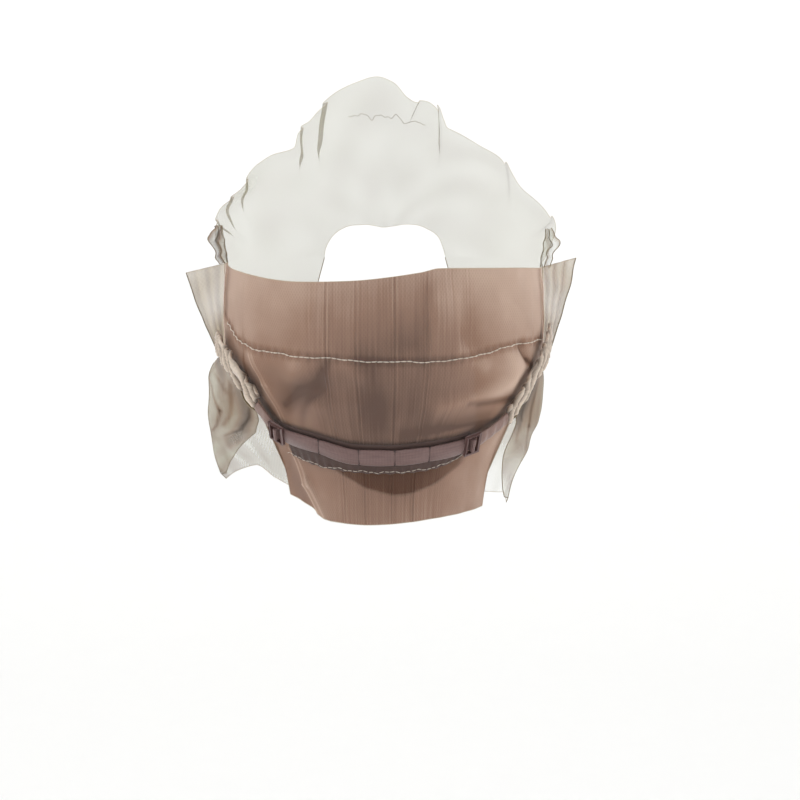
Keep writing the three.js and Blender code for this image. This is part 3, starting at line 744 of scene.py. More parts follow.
def spun_thread(name, colour):
    """Spun sewing thread or a net's strand: matt, with the twist of its plies."""
    surface = {"Roughness": 0.7, "IOR": 1.53, "Sheen_Weight": 0.2, "Sheen_Roughness": 0.5}
    return flecked(name, colour, 2500.0, 1.0, 0.72, **surface)


def studio_paper(name, colour):
    """Matt white seamless paper."""
    return flecked(name, colour, 40.0, 2.0, 0.99, Roughness=0.9)


lace_material = nylon_net("nylon_tulle_tan", "#bfac8c", "#ead2c0", "#d3b6a3", "#98745f", "#5a3a28")
crown_material = nylon_net("nylon_tulle_sheer", "#b0b08c", "#aba386", "#a3957a", "#86694e", "#4a3828")
edge_material = spun_thread("nylon_selvedge_strand", "#d2c3ac")
# Deep olive for rolled edges: the rolled net is dense, and the colour also holds painted shade along the
# edges
rolled_material = spun_thread("nylon_rolled_edge", "#83704f")
ribbon_material = woven_tape("polyester_ribbon_mauve_brown", "#6a534c", "#3f2d29", 0.6, 0.5, 0.2)
strap_material = woven_tape("satin_elastic_mauve", "#957773", "#5e4643", 0.38, 0.7, 0.35)
tape_material = woven_tape("satin_tape_rose", "#ac8c83", "#775d54", 0.38, 0.7, 0.2)
# Pale colour for the ruches' painted highlights, deep colour for the painted shade between them
elastic_material = ruched_tube("ruched_elastic_beige", "#e4d3c2", "#5f4a3a")
thread_material = spun_thread("polyester_thread_cream", "#f0e2d2")
tack_material = spun_thread("polyester_thread_brown", "#3d2e2b")
slider_material = moulded_acetal("acetal_mauve", "#694e4b")
paper_material = studio_paper("seamless_paper_white", "#f4f4f3")


# Back lace: panel, wings and nape flap
SIDE_STEP = 0.5
MIDDLE_STEP = 0.2
WING_COLUMNS = 44
BACK_ROWS = 124
PANEL_COVER = 0.965
WING_COVER = 0.6
LEFT_WING_CREASES = (0.2, 0.47, 0.8)
RIGHT_WING_CREASES = (0.16, 0.42, 0.7)
WING_CREASE_WIDTH = 0.075
LEFT_WING_RIDGE = 1.0
RIGHT_WING_RIDGE = 2.0
LEFT_WING_RIPPLE = 0.9
RIGHT_WING_RIPPLE = 0.5
WING_RIPPLE_PITCH = 18.0
LEFT_WING_HEIGHT = 30.0
RIGHT_WING_HEIGHT = 25.0
WING_BEND = 0.1

# Painted shade of the net down the back, standing in for a head in shade under it, from 0 for pale to 1 for
# deep: at the sides, and what the middle adds
PAINTED_BACK_SHADE = table(
    "level side centre",
    (-1.0, 0.44, 0.16), (-0.87, 0.48, 0.24), (-0.76, 0.5, 0.28), (-0.65, 0.56, 0.34), (-0.48, 0.48, 0.46),
    (-0.32, 0.4, 0.42), (-0.16, 0.33, 0.3), (0.0, 0.26, 0.17),
)
PANEL_PALEST = 0.1
# Painted light: the net paler on the right below the seam, where it turns away from the lamps
PAINTED_SIDE_LIGHT = 0.2
# Painted shade: the left of the net made deeper, evening out the stronger lamp on that side
PAINTED_LEFT_SHADE = 0.08
# Middle of the back, and reach in degrees, of the deeper painted shade there
CENTRE_TURN = 3.0
CENTRE_REACH = 36.0
# Painted light and shade by the heights of folds and creases: ridges paler, valleys deeper
FOLD_PAINTED_SHADE = 0.075
CREASE_PAINTED_SHADE = 0.45
# Painted highlight along the tucks' ridges, and painted shade beside them
TUCK_PAINTED_HIGHLIGHT = 0.16
TUCK_PAINTED_SHADE = 0.07
# Flap deeper where the casing lies behind it: the doubled net, and painted shade under the strap
CASING_DOUBLE_AND_SHADE = 0.27
CASING_FROM = -0.72
TURNING_ABOVE = 0.16
TURNING_BELOW = 0.1
TURNING_WIDTH = 1.3
TURNING_PLACE = 1.2


def wing_creases(reach, side):
    """One along each crease of a wing, nought between them."""
    total = 0
    for place in LEFT_WING_CREASES if side < 0 else RIGHT_WING_CREASES:
        total = total + bell((reach - place) / WING_CREASE_WIDTH)
    return total


def carry_wing(turn, reach, along, point):
    """Carries points of the side seam outwards into the standing wing, with its creases."""
    side = np.sign(turn)
    wing = np.where(side < 0, WING_LEFT, WING_RIGHT)
    tilt = np.where(side < 0, -LEFT_WING_DIP, RIGHT_WING_RISE)
    share = reach * (1 - along)
    left = crumple(reach * WING_LEFT, along * LEFT_WING_HEIGHT, WING_RIPPLE_PITCH, 11)
    right = crumple(reach * WING_RIGHT, along * RIGHT_WING_HEIGHT, WING_RIPPLE_PITCH, 12)
    ripple = np.where(
        side < 0,
        LEFT_WING_RIDGE * wing_creases(reach, -1) + LEFT_WING_RIPPLE * left,
        RIGHT_WING_RIDGE * wing_creases(reach, 1) + RIGHT_WING_RIPPLE * right,
    )
    moved = point.copy()
    moved[..., 0] += side * (wing * share + WING_ROOT * reach * along)
    moved[..., 1] += ripple * (1 - 0.8 * along) * ease(0, WING_BEND, reach)
    moved[..., 2] += tilt * share
    return moved


def back_point(turn, reach, along):
    level = blend(top_level(turn), hem_level(turn), along)
    point = wall_point(turn, level, lace_out(turn, level))
    return carry_wing(turn, reach, along, point), level


def back_columns():
    """Degrees and wing reach of each column, from the left wing's corner to the right one's."""
    panel = np.concatenate([
        np.arange(-SEAM_TURN, PLEATS_FROM, SIDE_STEP),
        np.arange(PLEATS_FROM, PLEATS_TO, MIDDLE_STEP),
        np.arange(PLEATS_TO, SEAM_TURN + SIDE_STEP / 2, SIDE_STEP),
    ])
    reach = np.linspace(0, 1, WING_COLUMNS + 1)[1:]
    wing = np.full(WING_COLUMNS, SEAM_TURN)
    turns = np.concatenate([-wing, panel, wing])
    return turns, np.concatenate([reach[::-1], np.zeros(len(panel)), reach])


def casing_shows(turn, level):
    """One where the casing lies behind the flap and makes it look double, nought elsewhere."""
    hem = CASING_DROP * smooth(CASING_HEM, "turn", "level", turn)
    start, stop = CASING_HEM["turn"][0], CASING_HEM["turn"][-1]
    shown = ease(hem - 1, hem + 0.6, level) * ease(start - 3, start + 3, turn)
    return shown * (1 - ease(stop - 3, stop + 3, turn))


# Tone of the back lace: its own doubling at seams and casing, and painted shade and light by level, side,
# folds and tucks
def back_tone_and_painted_shade(turn, level):
    share = level / NAPE_DROP
    centre = bell((turn - CENTRE_TURN) / CENTRE_REACH)
    tone = smooth(PAINTED_BACK_SHADE, "level", "side", share) + centre * smooth(PAINTED_BACK_SHADE, "level", "centre", share)
    # Painted shade over the left side
    tone = tone + PAINTED_LEFT_SHADE * ease(-16, -56, turn)
    # Painted light on the right below the seam
    tone = tone - PAINTED_SIDE_LIGHT * ease(38, 74, turn) * ease(-0.3, -0.4, share) * ease(-0.8, -0.66, share)
    # Painted light and shade: paler on ridges, deeper in valleys
    tone = tone - FOLD_PAINTED_SHADE * line_folds(FOLDS, turn, level) - CREASE_PAINTED_SHADE * line_folds(CREASES, turn, level)
    tone = tone + line_folds(SHADES, turn, level) / FOLD_HEIGHT
    # Painted highlight on the tucks and painted shade beside them
    tone = tone + (TUCK_PAINTED_SHADE - TUCK_PAINTED_HIGHLIGHT * tucks(turn)) * bell(tuck_nearness(turn))
    # Doubled net over the casing, with painted shade under the strap
    tone = tone + CASING_DOUBLE_AND_SHADE * casing_shows(turn, level) * (level < CASING_FROM * NAPE_DROP)
    seam = level - seam_level(turn)
    tone = tone + TURNING_ABOVE * bell((seam - TURNING_PLACE) / TURNING_WIDTH)
    tone = tone + TURNING_BELOW * bell((seam + TURNING_PLACE) / TURNING_WIDTH)
    border = 0.28 * bell((turn + 81) / 5) + 0.2 * bell((turn - 80) / 3)
    return np.maximum(tone + border * ease(-1, 1, seam), PANEL_PALEST)


def make_back_lace():
    turn, reach = (column[:, None] for column in back_columns())
    along = np.linspace(0, 1, BACK_ROWS)[None, :]
    points, level = back_point(turn, reach, along)
    side = np.where(turn < 0, -1, 1)
    creases = np.where(side < 0, wing_creases(reach, -1), wing_creases(reach, 1)) * (1 - along)
    wing = ease(0, WING_BEND, reach)
    wing_tone = np.where(side < 0, 0.0, 0.06) * creases + 0.02 * crumple(reach * 20, along * 40, 22, 13)
    tone = blend(back_tone_and_painted_shade(turn, level), wing_tone, wing)
    cloud = crumple(reach * 20, along * 40, 20, 14)
    wing_cover = WING_COVER + np.where(side < 0, 0.04, 0.16) * creases + 0.05 * cloud
    wing_cover = wing_cover + np.where(side < 0, 0.2, 0.12) * ease(0.3, 0.8, along)
    cover = blend(PANEL_COVER, wing_cover, wing)
    # Painted shade and highlight along the fine pleats between the tucks
    marks = {"tone": tone, "cover": cover, "pleat_shade_streaks": pleat_zone(turn) * (1 - wing)}
    return dress(grid_piece("back_lace_cloth", points, lace_material, marks), "lace_net", "back_lace")


# Front lace: two cheeks cut by level, and the crown cut by degrees over the head, with a row of gathering
GATHER_ROW = 20.0
GATHER_FROM = -14.0
GATHER_TO = 17.0
GATHER_WAVE = 0.5
GATHER_PITCH = 4.3
GATHER_REACH = 2.6
CROWN_RIPPLE = 0.45
CROWN_RIPPLE_PITCH = 24.0
CROWN_RUN = 105.0
CHEEK_RIPPLE = 0.7
CHEEK_RIPPLE_PITCH = 26.0
FRONT_ROWS = 72
CROWN_COLUMNS = 601
CHEEK_COLUMNS = 118
CHEEK_START = -0.015
CROWN_COVER = 0.36
CHEEK_COVER = 0.5


def cheek_point(side, level, along):
    rows, drop = (LEFT_CHEEK, LEFT_DROP) if side < 0 else (RIGHT_CHEEK, RIGHT_DROP)
    hem = smooth(LEFT_HEM if side < 0 else RIGHT_HEM, "along", "rise", along)

    def at(column):
        return smooth(rows, "level", column, level)

    turn = blend(at("rear"), at("face"), along)
    corner = CORNER_SHARE * STRAP_DROP
    height = np.where(level < -1, blend(-corner, -drop, -1 - level), corner * level)
    wave = HEM_WAVE * hem * ease(-1, -2, level)
    stand = EASE + at("lap") * LAYER + at("off") * CHEEK_STAND
    rim = HALF_BREADTH * smooth(FORM, "level", "wide", height / NAPE_DROP) + stand
    wrap = np.where(at("rear") < EAR_TURN, ease(np.minimum(at("rear"), EAR_TURN - 0.01), EAR_TURN, turn), 1)
    ahead = np.clip((turn - EAR_TURN) / (at("face") - EAR_TURN), 0, 1)
    behind = turn < EAR_TURN
    wide = np.where(
        behind,
        blend(rim, HALF_BREADTH * at("out"), wrap),
        HALF_BREADTH * blend(at("far"), at("out"), (1 - ahead) ** CROWN_FADE),
    )
    back = BACK_DEPTH * smooth(FORM, "level", "back", height / NAPE_DROP) + stand
    depth = np.where(behind, back, FRONT_DEPTH + EASE)
    angle = np.radians(turn)
    soft = CHEEK_RIPPLE * crumple(turn * ARC, height, CHEEK_RIPPLE_PITCH, 21 + side)
    soft = soft * ease(-0.02, -0.5, level)
    x, y = side * (wide + soft) * np.sin(angle), -(depth + soft) * np.cos(angle)
    return np.stack([x, y, height + wave], axis=-1)


def crown_pleats(turn, along):
    """Degrees moved and millimetres lifted by the crown's pleats, and one where they double the lace."""
    fold, lifted, double = (np.zeros(np.broadcast(turn, along).shape) for _ in range(3))
    for centre, skew, width, overlap, step, run in zip(*CROWN_PLEATS.values()):
        away = (turn - centre - skew * along) / width
        fade = 1 - ease(run * 0.4, run, along)
        fold -= overlap * away * bell(away) * fade
        lifted += step * 2.3 * away * bell(away) * fade
        double += bell(away / 0.75) * fade
    return fold, lifted, double


def gather_row(turn):
    """How far behind the crown's edge its row of gathering runs, in millimetres."""
    return GATHER_ROW + 8 * bell((turn + 2) / 9) + 1.3 * np.sin(turn * 0.9) + 0.6 * np.sin(turn * 2.3 + 1)


def gather_zone(turn):
    return ease(GATHER_FROM - 6, GATHER_FROM + 4, turn) * (1 - ease(GATHER_TO - 6, GATHER_TO + 4, turn))


def crown_point(turn, along):
    fold, lifted, _ = crown_pleats(turn, along)
    turn = turn + fold
    sin, cos = np.sin(np.radians(turn)), np.cos(np.radians(turn))
    head = 1 / np.hypot(sin / HALF_BREADTH, cos / CROWN_HEIGHT)
    rear = np.radians(blend(CROWN_REAR_SIDE, CROWN_REAR_TOP, cos * cos))
    face = np.arccos(blend(math.cos(math.radians(FACE_TOP)), math.cos(math.radians(FACE_SIDE)), sin * sin))
    forward = blend(rear, face, along)
    lift = CROWN_LIFT * smooth(CROWN_EDGE, "turn", "lift", turn)
    snug = head + EASE
    loose = (head + lift) / np.cos(rear) - snug
    radius = snug + loose * (1 - along) ** CROWN_FADE + lifted
    row = along * (face - rear) * FRONT_DEPTH - gather_row(turn)
    gather = bell(row / GATHER_REACH) * gather_zone(turn)
    radius = radius + GATHER_WAVE * gather * np.sin(turn * 2 * math.pi / GATHER_PITCH)
    radius = radius + CROWN_RIPPLE * crumple(turn * ARC, forward * FRONT_DEPTH, CROWN_RIPPLE_PITCH, 5)
    x, z = radius * sin * np.cos(forward), radius * cos * np.cos(forward)
    return np.stack([x, (FRONT_DEPTH + EASE) * np.sin(forward), z], axis=-1)


def front_columns():
    """Levels of the cheeks' columns from the tip up, and degrees of the crown's."""
    down = np.linspace(-2, CHEEK_START, CHEEK_COLUMNS)[:, None]
    return down, np.linspace(-90, 90, CROWN_COLUMNS)[:, None]


def cheek_marks(side, down, along):
    """Tone and cover of a cheek: its rear part is doubled by a wide turning, and the rest is one layer."""
    turning = (1 - ease(0.12, 0.4, along)) * (1 - (0.65 if side < 0 else 0.2) * ease(-1.05, -1.55, down))
    tucked = (0.26 if side < 0 else 0.12) * bell((down + 0.84) / 0.17) * (1 - ease(0.1, 0.45, along))
    cloud = crumple(down * 30, along * 75, 13, 61 + side)
    lower = ease(-0.05, -0.45, down)
    tone = blend(0.03, 0.12 + 0.38 * turning + (0.06 + 0.2 * turning) * cloud, lower)
    upper = ease(-1.15, -0.95, down) * (0.0 if side < 0 else 0.12)
    tail = ease(-1.2, -1.9, down) * (0.0 if side < 0 else 0.34)
    creases = LEFT_CHEEK_CREASES if side < 0 else RIGHT_CHEEK_CREASES
    tucked = tucked + line_folds(creases, along * CHEEK_SPAN, down * NAPE_DROP) / FOLD_HEIGHT
    cover = blend(CROWN_COVER, CHEEK_COVER + upper + 0.14 * turning + 0.05 * cloud - tail, lower)
    return tone + upper * lower - 0.5 * tail + tucked, cover + 0.8 * tucked


def make_front_lace():
    along = np.linspace(0, 1, FRONT_ROWS)[None, :]
    down, over = front_columns()
    cheeks = cheek_point(-1, down, along), cheek_point(1, down[::-1], along)
    points = np.concatenate([cheeks[0], crown_point(over, along), cheeks[1]])
    _, _, double = crown_pleats(over, along)
    cloud = crumple(over * ARC, along * 90, 26, 62)
    crown_tone = 0.03 + 0.2 * double + 0.03 * cloud
    left_edge = 0.14 * bell((over + 63) / 9) - 0.08 * bell((over + 83) / 6)
    crown_cover = CROWN_COVER + 0.08 * double + 0.02 * cloud + left_edge * (1 - ease(0.02, 0.3, along))
    left, right = cheek_marks(-1, down, along), cheek_marks(1, down[::-1], along)
    marks = {
        "tone": np.concatenate([left[0], crown_tone, right[0]]),
        "cover": np.concatenate([left[1], crown_cover, right[1]]),
        "pleat_shade_streaks": 0,
    }
    return dress(grid_piece("front_lace_cloth", points, crown_material, marks), "lace_net", "front_lace")


def make_casing():
    turn = np.linspace(CASING_HEM["turn"][0], CASING_HEM["turn"][-1], 120)[:, None]
    along = np.linspace(0, 1, 24)[None, :]
    hem = CASING_DROP * smooth(CASING_HEM, "turn", "level", turn)
    level = blend(strap_level(turn) + CASING_TUCK, hem, along)
    points = wall_point(turn, level, CASING_OUT + 0.15 * np.sin(turn * ARC * 2 * math.pi / 6))
    # The casing's deep tone is doubled net, with painted shade under the strap and ribbon
    marks = {"tone": 0.9, "cover": 0.85, "pleat_shade_streaks": 0.6}
    return dress(grid_piece("casing_cloth", points, lace_material, marks), "lace_net", "casing_lace")


# Bands along the strap line
def band_point(turn, across, out):
    """A point beside the strap line, across millimetres from it, measured square to it on the head form."""
    step = 0.5
    before = wall_point(turn - step, strap_level(turn - step), out)
    after = wall_point(turn + step, strap_level(turn + step), out)
    rise = after[..., 2] - before[..., 2]
    run = np.hypot(after[..., 0] - before[..., 0], after[..., 1] - before[..., 1])
    length = np.hypot(rise, run)
    shifted = turn - across * (rise / length) * (2 * step) / run
    return wall_point(shifted, strap_level(turn) + across * (run / length), out)


def rounded_section(half_width, half_wall, count=5):
    """Closed outline of a flat band with round edges: places across it and off it."""
    flat = half_width - half_wall
    upper = [(x, half_wall) for x in np.linspace(flat, -flat, 2 * count)]
    bend = np.linspace(0, math.pi, count)[1:-1]
    left = [(-flat - half_wall * math.sin(a), half_wall * math.cos(a)) for a in bend]
    lower = [(x, -half_wall) for x in np.linspace(-flat, flat, 2 * count)]
    right = [(flat + half_wall * math.sin(a), -half_wall * math.cos(a)) for a in bend]
    return np.array(upper + left + lower + right)


def make_ribbon():
    turn = np.linspace(LEFT_SLIDER_TURN + 1, RIGHT_SLIDER_TURN - 1, 200)[:, None]
    top = strap_level(turn) + RIBBON_ABOVE
    hem = RIBBON_DROP * smooth(RIBBON_HEM, "turn", "level", turn)
    section = rounded_section(1, 0.06)
    along = ((1 - section[:, 0]) / 2)[None, :]
    off = section[:, 1][None, :] / 0.06 * RIBBON_WALL / 2
    level = blend(top, hem, along)
    pucker = 0.35 * np.sin(turn * ARC * 2 * math.pi / 5.2) * ease(0.55, 1, along)
    level = level + 0.25 * np.sin(turn * ARC * 2 * math.pi / 7.3 + 1) * ease(0.7, 1, along)
    points = wall_point(turn, level, RIBBON_OUT + off + pucker)
    band = grid_piece("nape_ribbon_band", points, ribbon_material, ring=True)
    return dress(band, "ribbon", "nape_ribbon")


TACK_TURNS = (-27.9, -10.5, 5.0, 20.0)
STRAP_PUFF = 1.6


def strap_puff(turn):
    """How far the strap bulges between its bar tacks, nought at each."""
    stops = np.array([LEFT_SLIDER_TURN, *TACK_TURNS, RIGHT_SLIDER_TURN])
    i = np.clip(np.searchsorted(stops, turn, side="right") - 1, 0, len(stops) - 2)
    share = np.clip((turn - stops[i]) / (stops[i + 1] - stops[i]), 0, 1)
    return np.sin(share * math.pi) ** 0.5


def tape_puff(turn):
    """How far a tape bulges, a little unevenly."""
    return 0.5 + 0.3 * np.sin(turn * 1.7)


def band_piece(name, turn_from, turn_to, columns, puff, material, slot, node):
    turn = np.linspace(turn_from, turn_to, columns)[:, None]
    section = rounded_section(STRAP_WIDTH / 2, STRAP_WALL / 2)
    swell = puff(turn)
    across = section[:, 0][None, :] * (0.9 + 0.12 * swell)
    crown = 1 - (section[:, 0] / (STRAP_WIDTH / 2))[None, :] ** 2
    outer = (section[:, 1] > 0)[None, :]
    out = STRAP_OUT + section[:, 1][None, :] + np.where(outer, STRAP_PUFF * swell * crown, 0)
    points = band_point(turn, across, out)
    return dress(grid_piece(name, points, material, ring=True), slot, node)


RUCHE_COLUMNS = 300
RUCHE_PITCH = 9.0
RUCHE_SLANT = 0.85
RUCHE_HEIGHT = 0.95
RUCHE_SHIFT = 1.2
RUCHE_UNEVEN = 2.6
RUCHE_RIM = 1.3
RUCHE_WALL = 1.6


def ruched_piece(name, turn_from, turn_to, seed, node):
    """Elastic gathered in a tube of lace: slanting, uneven ruches, loosest where they meet the tape."""
    turn = np.linspace(turn_from, turn_to, RUCHE_COLUMNS)[:, None]
    length = path_length(band_point(turn[:, 0], 0, ELASTIC_OUT))
    share = np.linspace(0, 1, RUCHE_COLUMNS)[:, None]
    loose = share if turn_from < 0 else 1 - share
    draw = np.random.default_rng(seed)
    uneven = uneven_waves(share, draw, (1, 2, 3, 5))
    phase = 2 * math.pi * share * length / RUCHE_PITCH + RUCHE_UNEVEN * uneven
    section = rounded_section(ELASTIC_WIDTH / 2 + RUCHE_RIM, RUCHE_WALL / 2)
    x, side = section[:, 0][None, :], np.sign(section[:, 1])[None, :]
    slant = phase - np.sign(turn_from) * x * RUCHE_SLANT + 1.1 * np.sin(share * 19 + x * 0.4)
    deep = RUCHE_HEIGHT * (0.35 + 0.85 * loose)
    across = x * (0.86 + 0.1 * loose + 0.16 * np.cos(phase) * loose) + 0.6 * np.sin(phase * 0.5 + 1) * loose
    across = across + RUCHE_SHIFT * (1.5 + 1.4 * loose if turn_from < 0 else 4 - 3 * loose)
    ridge = np.sin(slant)
    out = ELASTIC_OUT + section[:, 1][None, :] + deep * ridge + 0.15 * side * np.cos(slant * 2.3 + x)
    points = band_point(turn, across, out)
    # Painted highlight on the ruches' crests and painted shade between them, stronger where they hang loose
    marks = {"tone": np.clip(0.42 - (0.24 + 0.4 * loose) * ridge, 0, 1)}
    return dress(grid_piece(name, points, elastic_material, marks, ring=True), "ruched_elastic", node)


# Three-bar adjusters
SLOT_LENGTH = (SLIDER_LENGTH - 3 * SLIDER_BAR) / 2
SLOT_PLAY = 1.2
SLIDER_ROUND = 0.35

# The bands go in under a slider's outer bars and end there, in degrees from its middle
BAND_END = 2.1

# The strap's turn over the middle bar, in millimetres off it, and its tail under the slider
TURN_REACH = 0.16
TURN_TOP = 1.55
TURN_FALL = 3.0
TURN_POWER = 2.6
TAIL_DEPTH = 2.6
TAIL_OVER = 1.5


def slider_frame(turn):
    """Middle of a slider, and its directions along the strap, up across it and away from the head."""

    def at(place, across):
        return band_point(np.array(place), across, SLIDER_OUT)

    along = at(turn + 1.0, 0) - at(turn - 1.0, 0)
    along /= np.linalg.norm(along)
    out = np.cross(along, at(turn, 1) - at(turn, -1))
    out /= np.linalg.norm(out)
    return at(turn, 0), along, np.cross(out, along), out


def slider_piece(name, turn, node):
    """A plate with two slots and round edges, moulded in one."""
    x = np.cumsum([-SLIDER_LENGTH / 2, SLIDER_BAR, SLOT_LENGTH, SLIDER_BAR, SLOT_LENGTH, SLIDER_BAR])
    rail = (SLIDER_WIDTH - STRAP_WIDTH - SLOT_PLAY) / 2
    y = np.array([-SLIDER_WIDTH / 2, -SLIDER_WIDTH / 2 + rail, SLIDER_WIDTH / 2 - rail, SLIDER_WIDTH / 2])
    centre, along, up, out = slider_frame(turn)
    points, faces = [], []
    for z in (-SLIDER_WALL / 2, SLIDER_WALL / 2):
        points += [centre + a * along + b * up + z * out for a in x for b in y]
    layer = len(x) * len(y)
    slots = ((1, 1), (3, 1))
    kept = [(i, j) for i in range(len(x) - 1) for j in range(len(y) - 1) if (i, j) not in slots]
    for i, j in kept:
        a = i * len(y) + j
        b = a + len(y)
        faces += [(a, a + 1, b + 1, b), (layer + a, layer + b, layer + b + 1, layer + a + 1)]
        for di, dj, p, q in ((-1, 0, a + 1, a), (1, 0, b, b + 1), (0, -1, a, b), (0, 1, b + 1, a + 1)):
            if (i + di, j + dj) not in kept:
                faces.append((p, layer + p, layer + q, q))
    mesh = bpy.data.meshes.new(name)
    mesh.from_pydata((np.array(points) * MM).tolist(), [], faces)
    piece = link(name, mesh, slider_material)
    bevel = piece.modifiers.new("moulded edges", "BEVEL")
    bevel.width = SLIDER_ROUND * MM
    bevel.segments = 3
    return dress(piece, "slider_plastic", node)


def strap_turn(name, turn, material):
    """Where the strap comes up through one slot, over the middle bar and down through the other."""
    centre, along, up, out = slider_frame(turn)
    share = np.linspace(-1, 1, 31)[:, None]
    reach = SLIDER_BAR / 2 + SLOT_LENGTH * TURN_REACH
    section = rounded_section(STRAP_WIDTH / 2 - 0.2, 0.35)
    arch = TURN_TOP - TURN_FALL * np.abs(share) ** TURN_POWER
    path = centre + share * reach * along + arch * out
    slope = np.gradient(path, axis=0)
    slope /= np.linalg.norm(slope, axis=-1, keepdims=True)
    normal = np.cross(slope, up)
    points = path[:, None, :] + section[None, :, :1] * up + section[None, :, 1:] * normal[:, None, :]
    return dress(grid_piece(name, points, material, ring=True), "satin_elastic")


def strap_tail(name, turn):
    """The strap's end, which runs flat under the adjuster, in the deep ribbon colour as painted shade in the
    slots.
    """
    centre, along, up, out = slider_frame(turn)
    share = np.linspace(-1, 1, 24)[:, None]
    section = rounded_section(STRAP_WIDTH / 2 - 0.3, 0.3)
    path = centre + share * (SLIDER_LENGTH / 2 + TAIL_OVER) * along - TAIL_DEPTH * out
    points = path[:, None, :] + section[None, :, :1] * up + section[None, :, 1:] * out
    return dress(grid_piece(name, points, ribbon_material, ring=True), "satin_elastic")


# Gathered tufts at the tops of the side seams
GATHER_HEIGHT = 19.0
GATHER_WIDTH = 8.5
GATHER_LEAN = 3.0
GATHER_FORWARD = 1.2
GATHER_SINK = 0.5
RIGHT_GATHER_RISE = 0.9492
LOOP_SWAY = 0.06


def gather_point(side, seed, share, across):
    """A point of a tuft at a share of its height and of its width."""
    root = back_point(np.array([[side * SEAM_TURN]]), np.array([[0.0]]), np.array([[0.0]]))[0][0, 0]
    draw = np.random.default_rng(seed)
    uneven = uneven_waves(share, draw, (1, 2, 3))
    phase = 2 * math.pi * (0.7 * share + 1.5 * across) + 1.5 * uneven
    bulge = 0.4 + 0.6 * np.sin(math.pi * np.clip(share * 0.9 + 0.05, 0, 1)) ** 0.8
    reach = GATHER_WIDTH * across * bulge * (0.82 + 0.18 * np.cos(3.2 * math.pi * share + uneven))
    rise = RIGHT_GATHER_RISE if side > 0 else 0
    x = root[0] + side * (reach + GATHER_LEAN * share)
    y = root[1] + GATHER_FORWARD + 2.3 * (0.35 + 0.65 * across) * np.sin(phase)
    z = root[2] - GATHER_SINK + rise + share * GATHER_HEIGHT + 0.8 * np.cos(phase) * across * bulge
    return np.stack(np.broadcast_arrays(x, y, z), axis=-1), phase


def gather_piece(name, side, seed, node, tone):
    """The side seam's spare lace, bunched into loose loops."""
    share = np.linspace(0, 1, 200)[:, None]
    across = np.linspace(0, 1, 36)[None, :]
    points, phase = gather_point(side, seed, share, across)
    marks = {
        "tone": tone + 0.22 * np.cos(phase),
        "cover": np.clip(0.3 + tone + 0.16 * np.cos(phase), 0, 1),
        "pleat_shade_streaks": 0,
    }
    return dress(grid_piece(name, points, crown_material, marks), "lace_net", node)


def make_gather_folds():
    """The rolled edges of the tufts' loops."""
    share = np.linspace(0, 1, 160)
    edges = []
    for side, seed in ((-1, 51), (1, 52)):
        for across in (0.05, 0.5, 1.0):
            sway = LOOP_SWAY * np.sin(share * 17 + across * 9) * (across < 1)
            edges.append(strand(gather_point(side, seed, share, across + sway)[0], 0.22))
    return dress(tubes_piece("gather_rolled_folds", edges, rolled_material), "lace_net")


# Sewing
SEAM_FROM = -75.0


def lace_path(turns, level, lift):
    return wall_point(turns, level, lace_out(turns, level) + lift)


def make_seam_stitches():
    turns = np.linspace(SEAM_FROM, SEAM_TURN, 700)
    wander = 0.3 * np.sin(turns * ARC / 4.7) + 0.15 * np.sin(turns * ARC / 1.9 + 2)
    path = lace_path(turns, seam_level(turns) + wander, 0.25)
    bundles = [stitches_round(path, length=2.8, gap=0.16, radius=0.3, lift=0.2, wander=0.06, seed=31)]
    return dress(tubes_piece("back_seam_stitches", bundles, thread_material), "lace_net")


def make_ribbon_stitches():
    turns = np.linspace(LEFT_SLIDER_TURN - 2, RIGHT_SLIDER_TURN + 8, 400)
    hem = RIBBON_DROP * smooth(RIBBON_HEM, "turn", "level", turns)
    wander = 0.3 * np.sin(turns * ARC / 2.6) + 0.2 * np.sin(turns * ARC / 1.1 + 1)
    path = wall_point(turns, hem + 0.9 + wander, RIBBON_OUT + 0.5)
    bundles = [stitches_round(path, length=2.3, gap=0.3, radius=0.17, lift=0.2, wander=0.1, seed=32)]
    return dress(tubes_piece("ribbon_stitches", bundles, thread_material), "ribbon")


def make_bar_tacks():
    """Dark zigzag bars across the strap."""
    bundles = []
    for turn in TACK_TURNS:
        share = np.linspace(-1, 1, 23)
        zigzag = 0.35 * np.where(np.arange(23) % 2, 1, -1) / ARC
        path = band_point(turn + zigzag, share * (STRAP_WIDTH / 2 + 0.2), STRAP_OUT + STRAP_WALL / 2 + 0.1)
        bundles.append(strand(path, 0.2))
    return dress(tubes_piece("strap_bar_tacks", bundles, tack_material), "satin_elastic")


# Radii of the strands along the edges, in millimetres
PANEL_STRAND = 0.16
WING_SIDE_STRAND = 0.24
WING_TOP_STRAND = 0.14
CROWN_STRAND = 0.11
CHEEK_STRAND = 0.2
CHEEK_BEND_STRAND = 0.17
TIP_STRAND = 0.14
BIGHT_STRAND = 0.42
GATHER_STRAND = 0.1

# Loose loops of edge below the elastics: where each starts and stops in degrees, and its sag in millimetres
BIGHTS = ((-60.5, -54.8, -4.2), (57.5, 61.5, -3.2))
BIGHT_ACROSS = -4.4


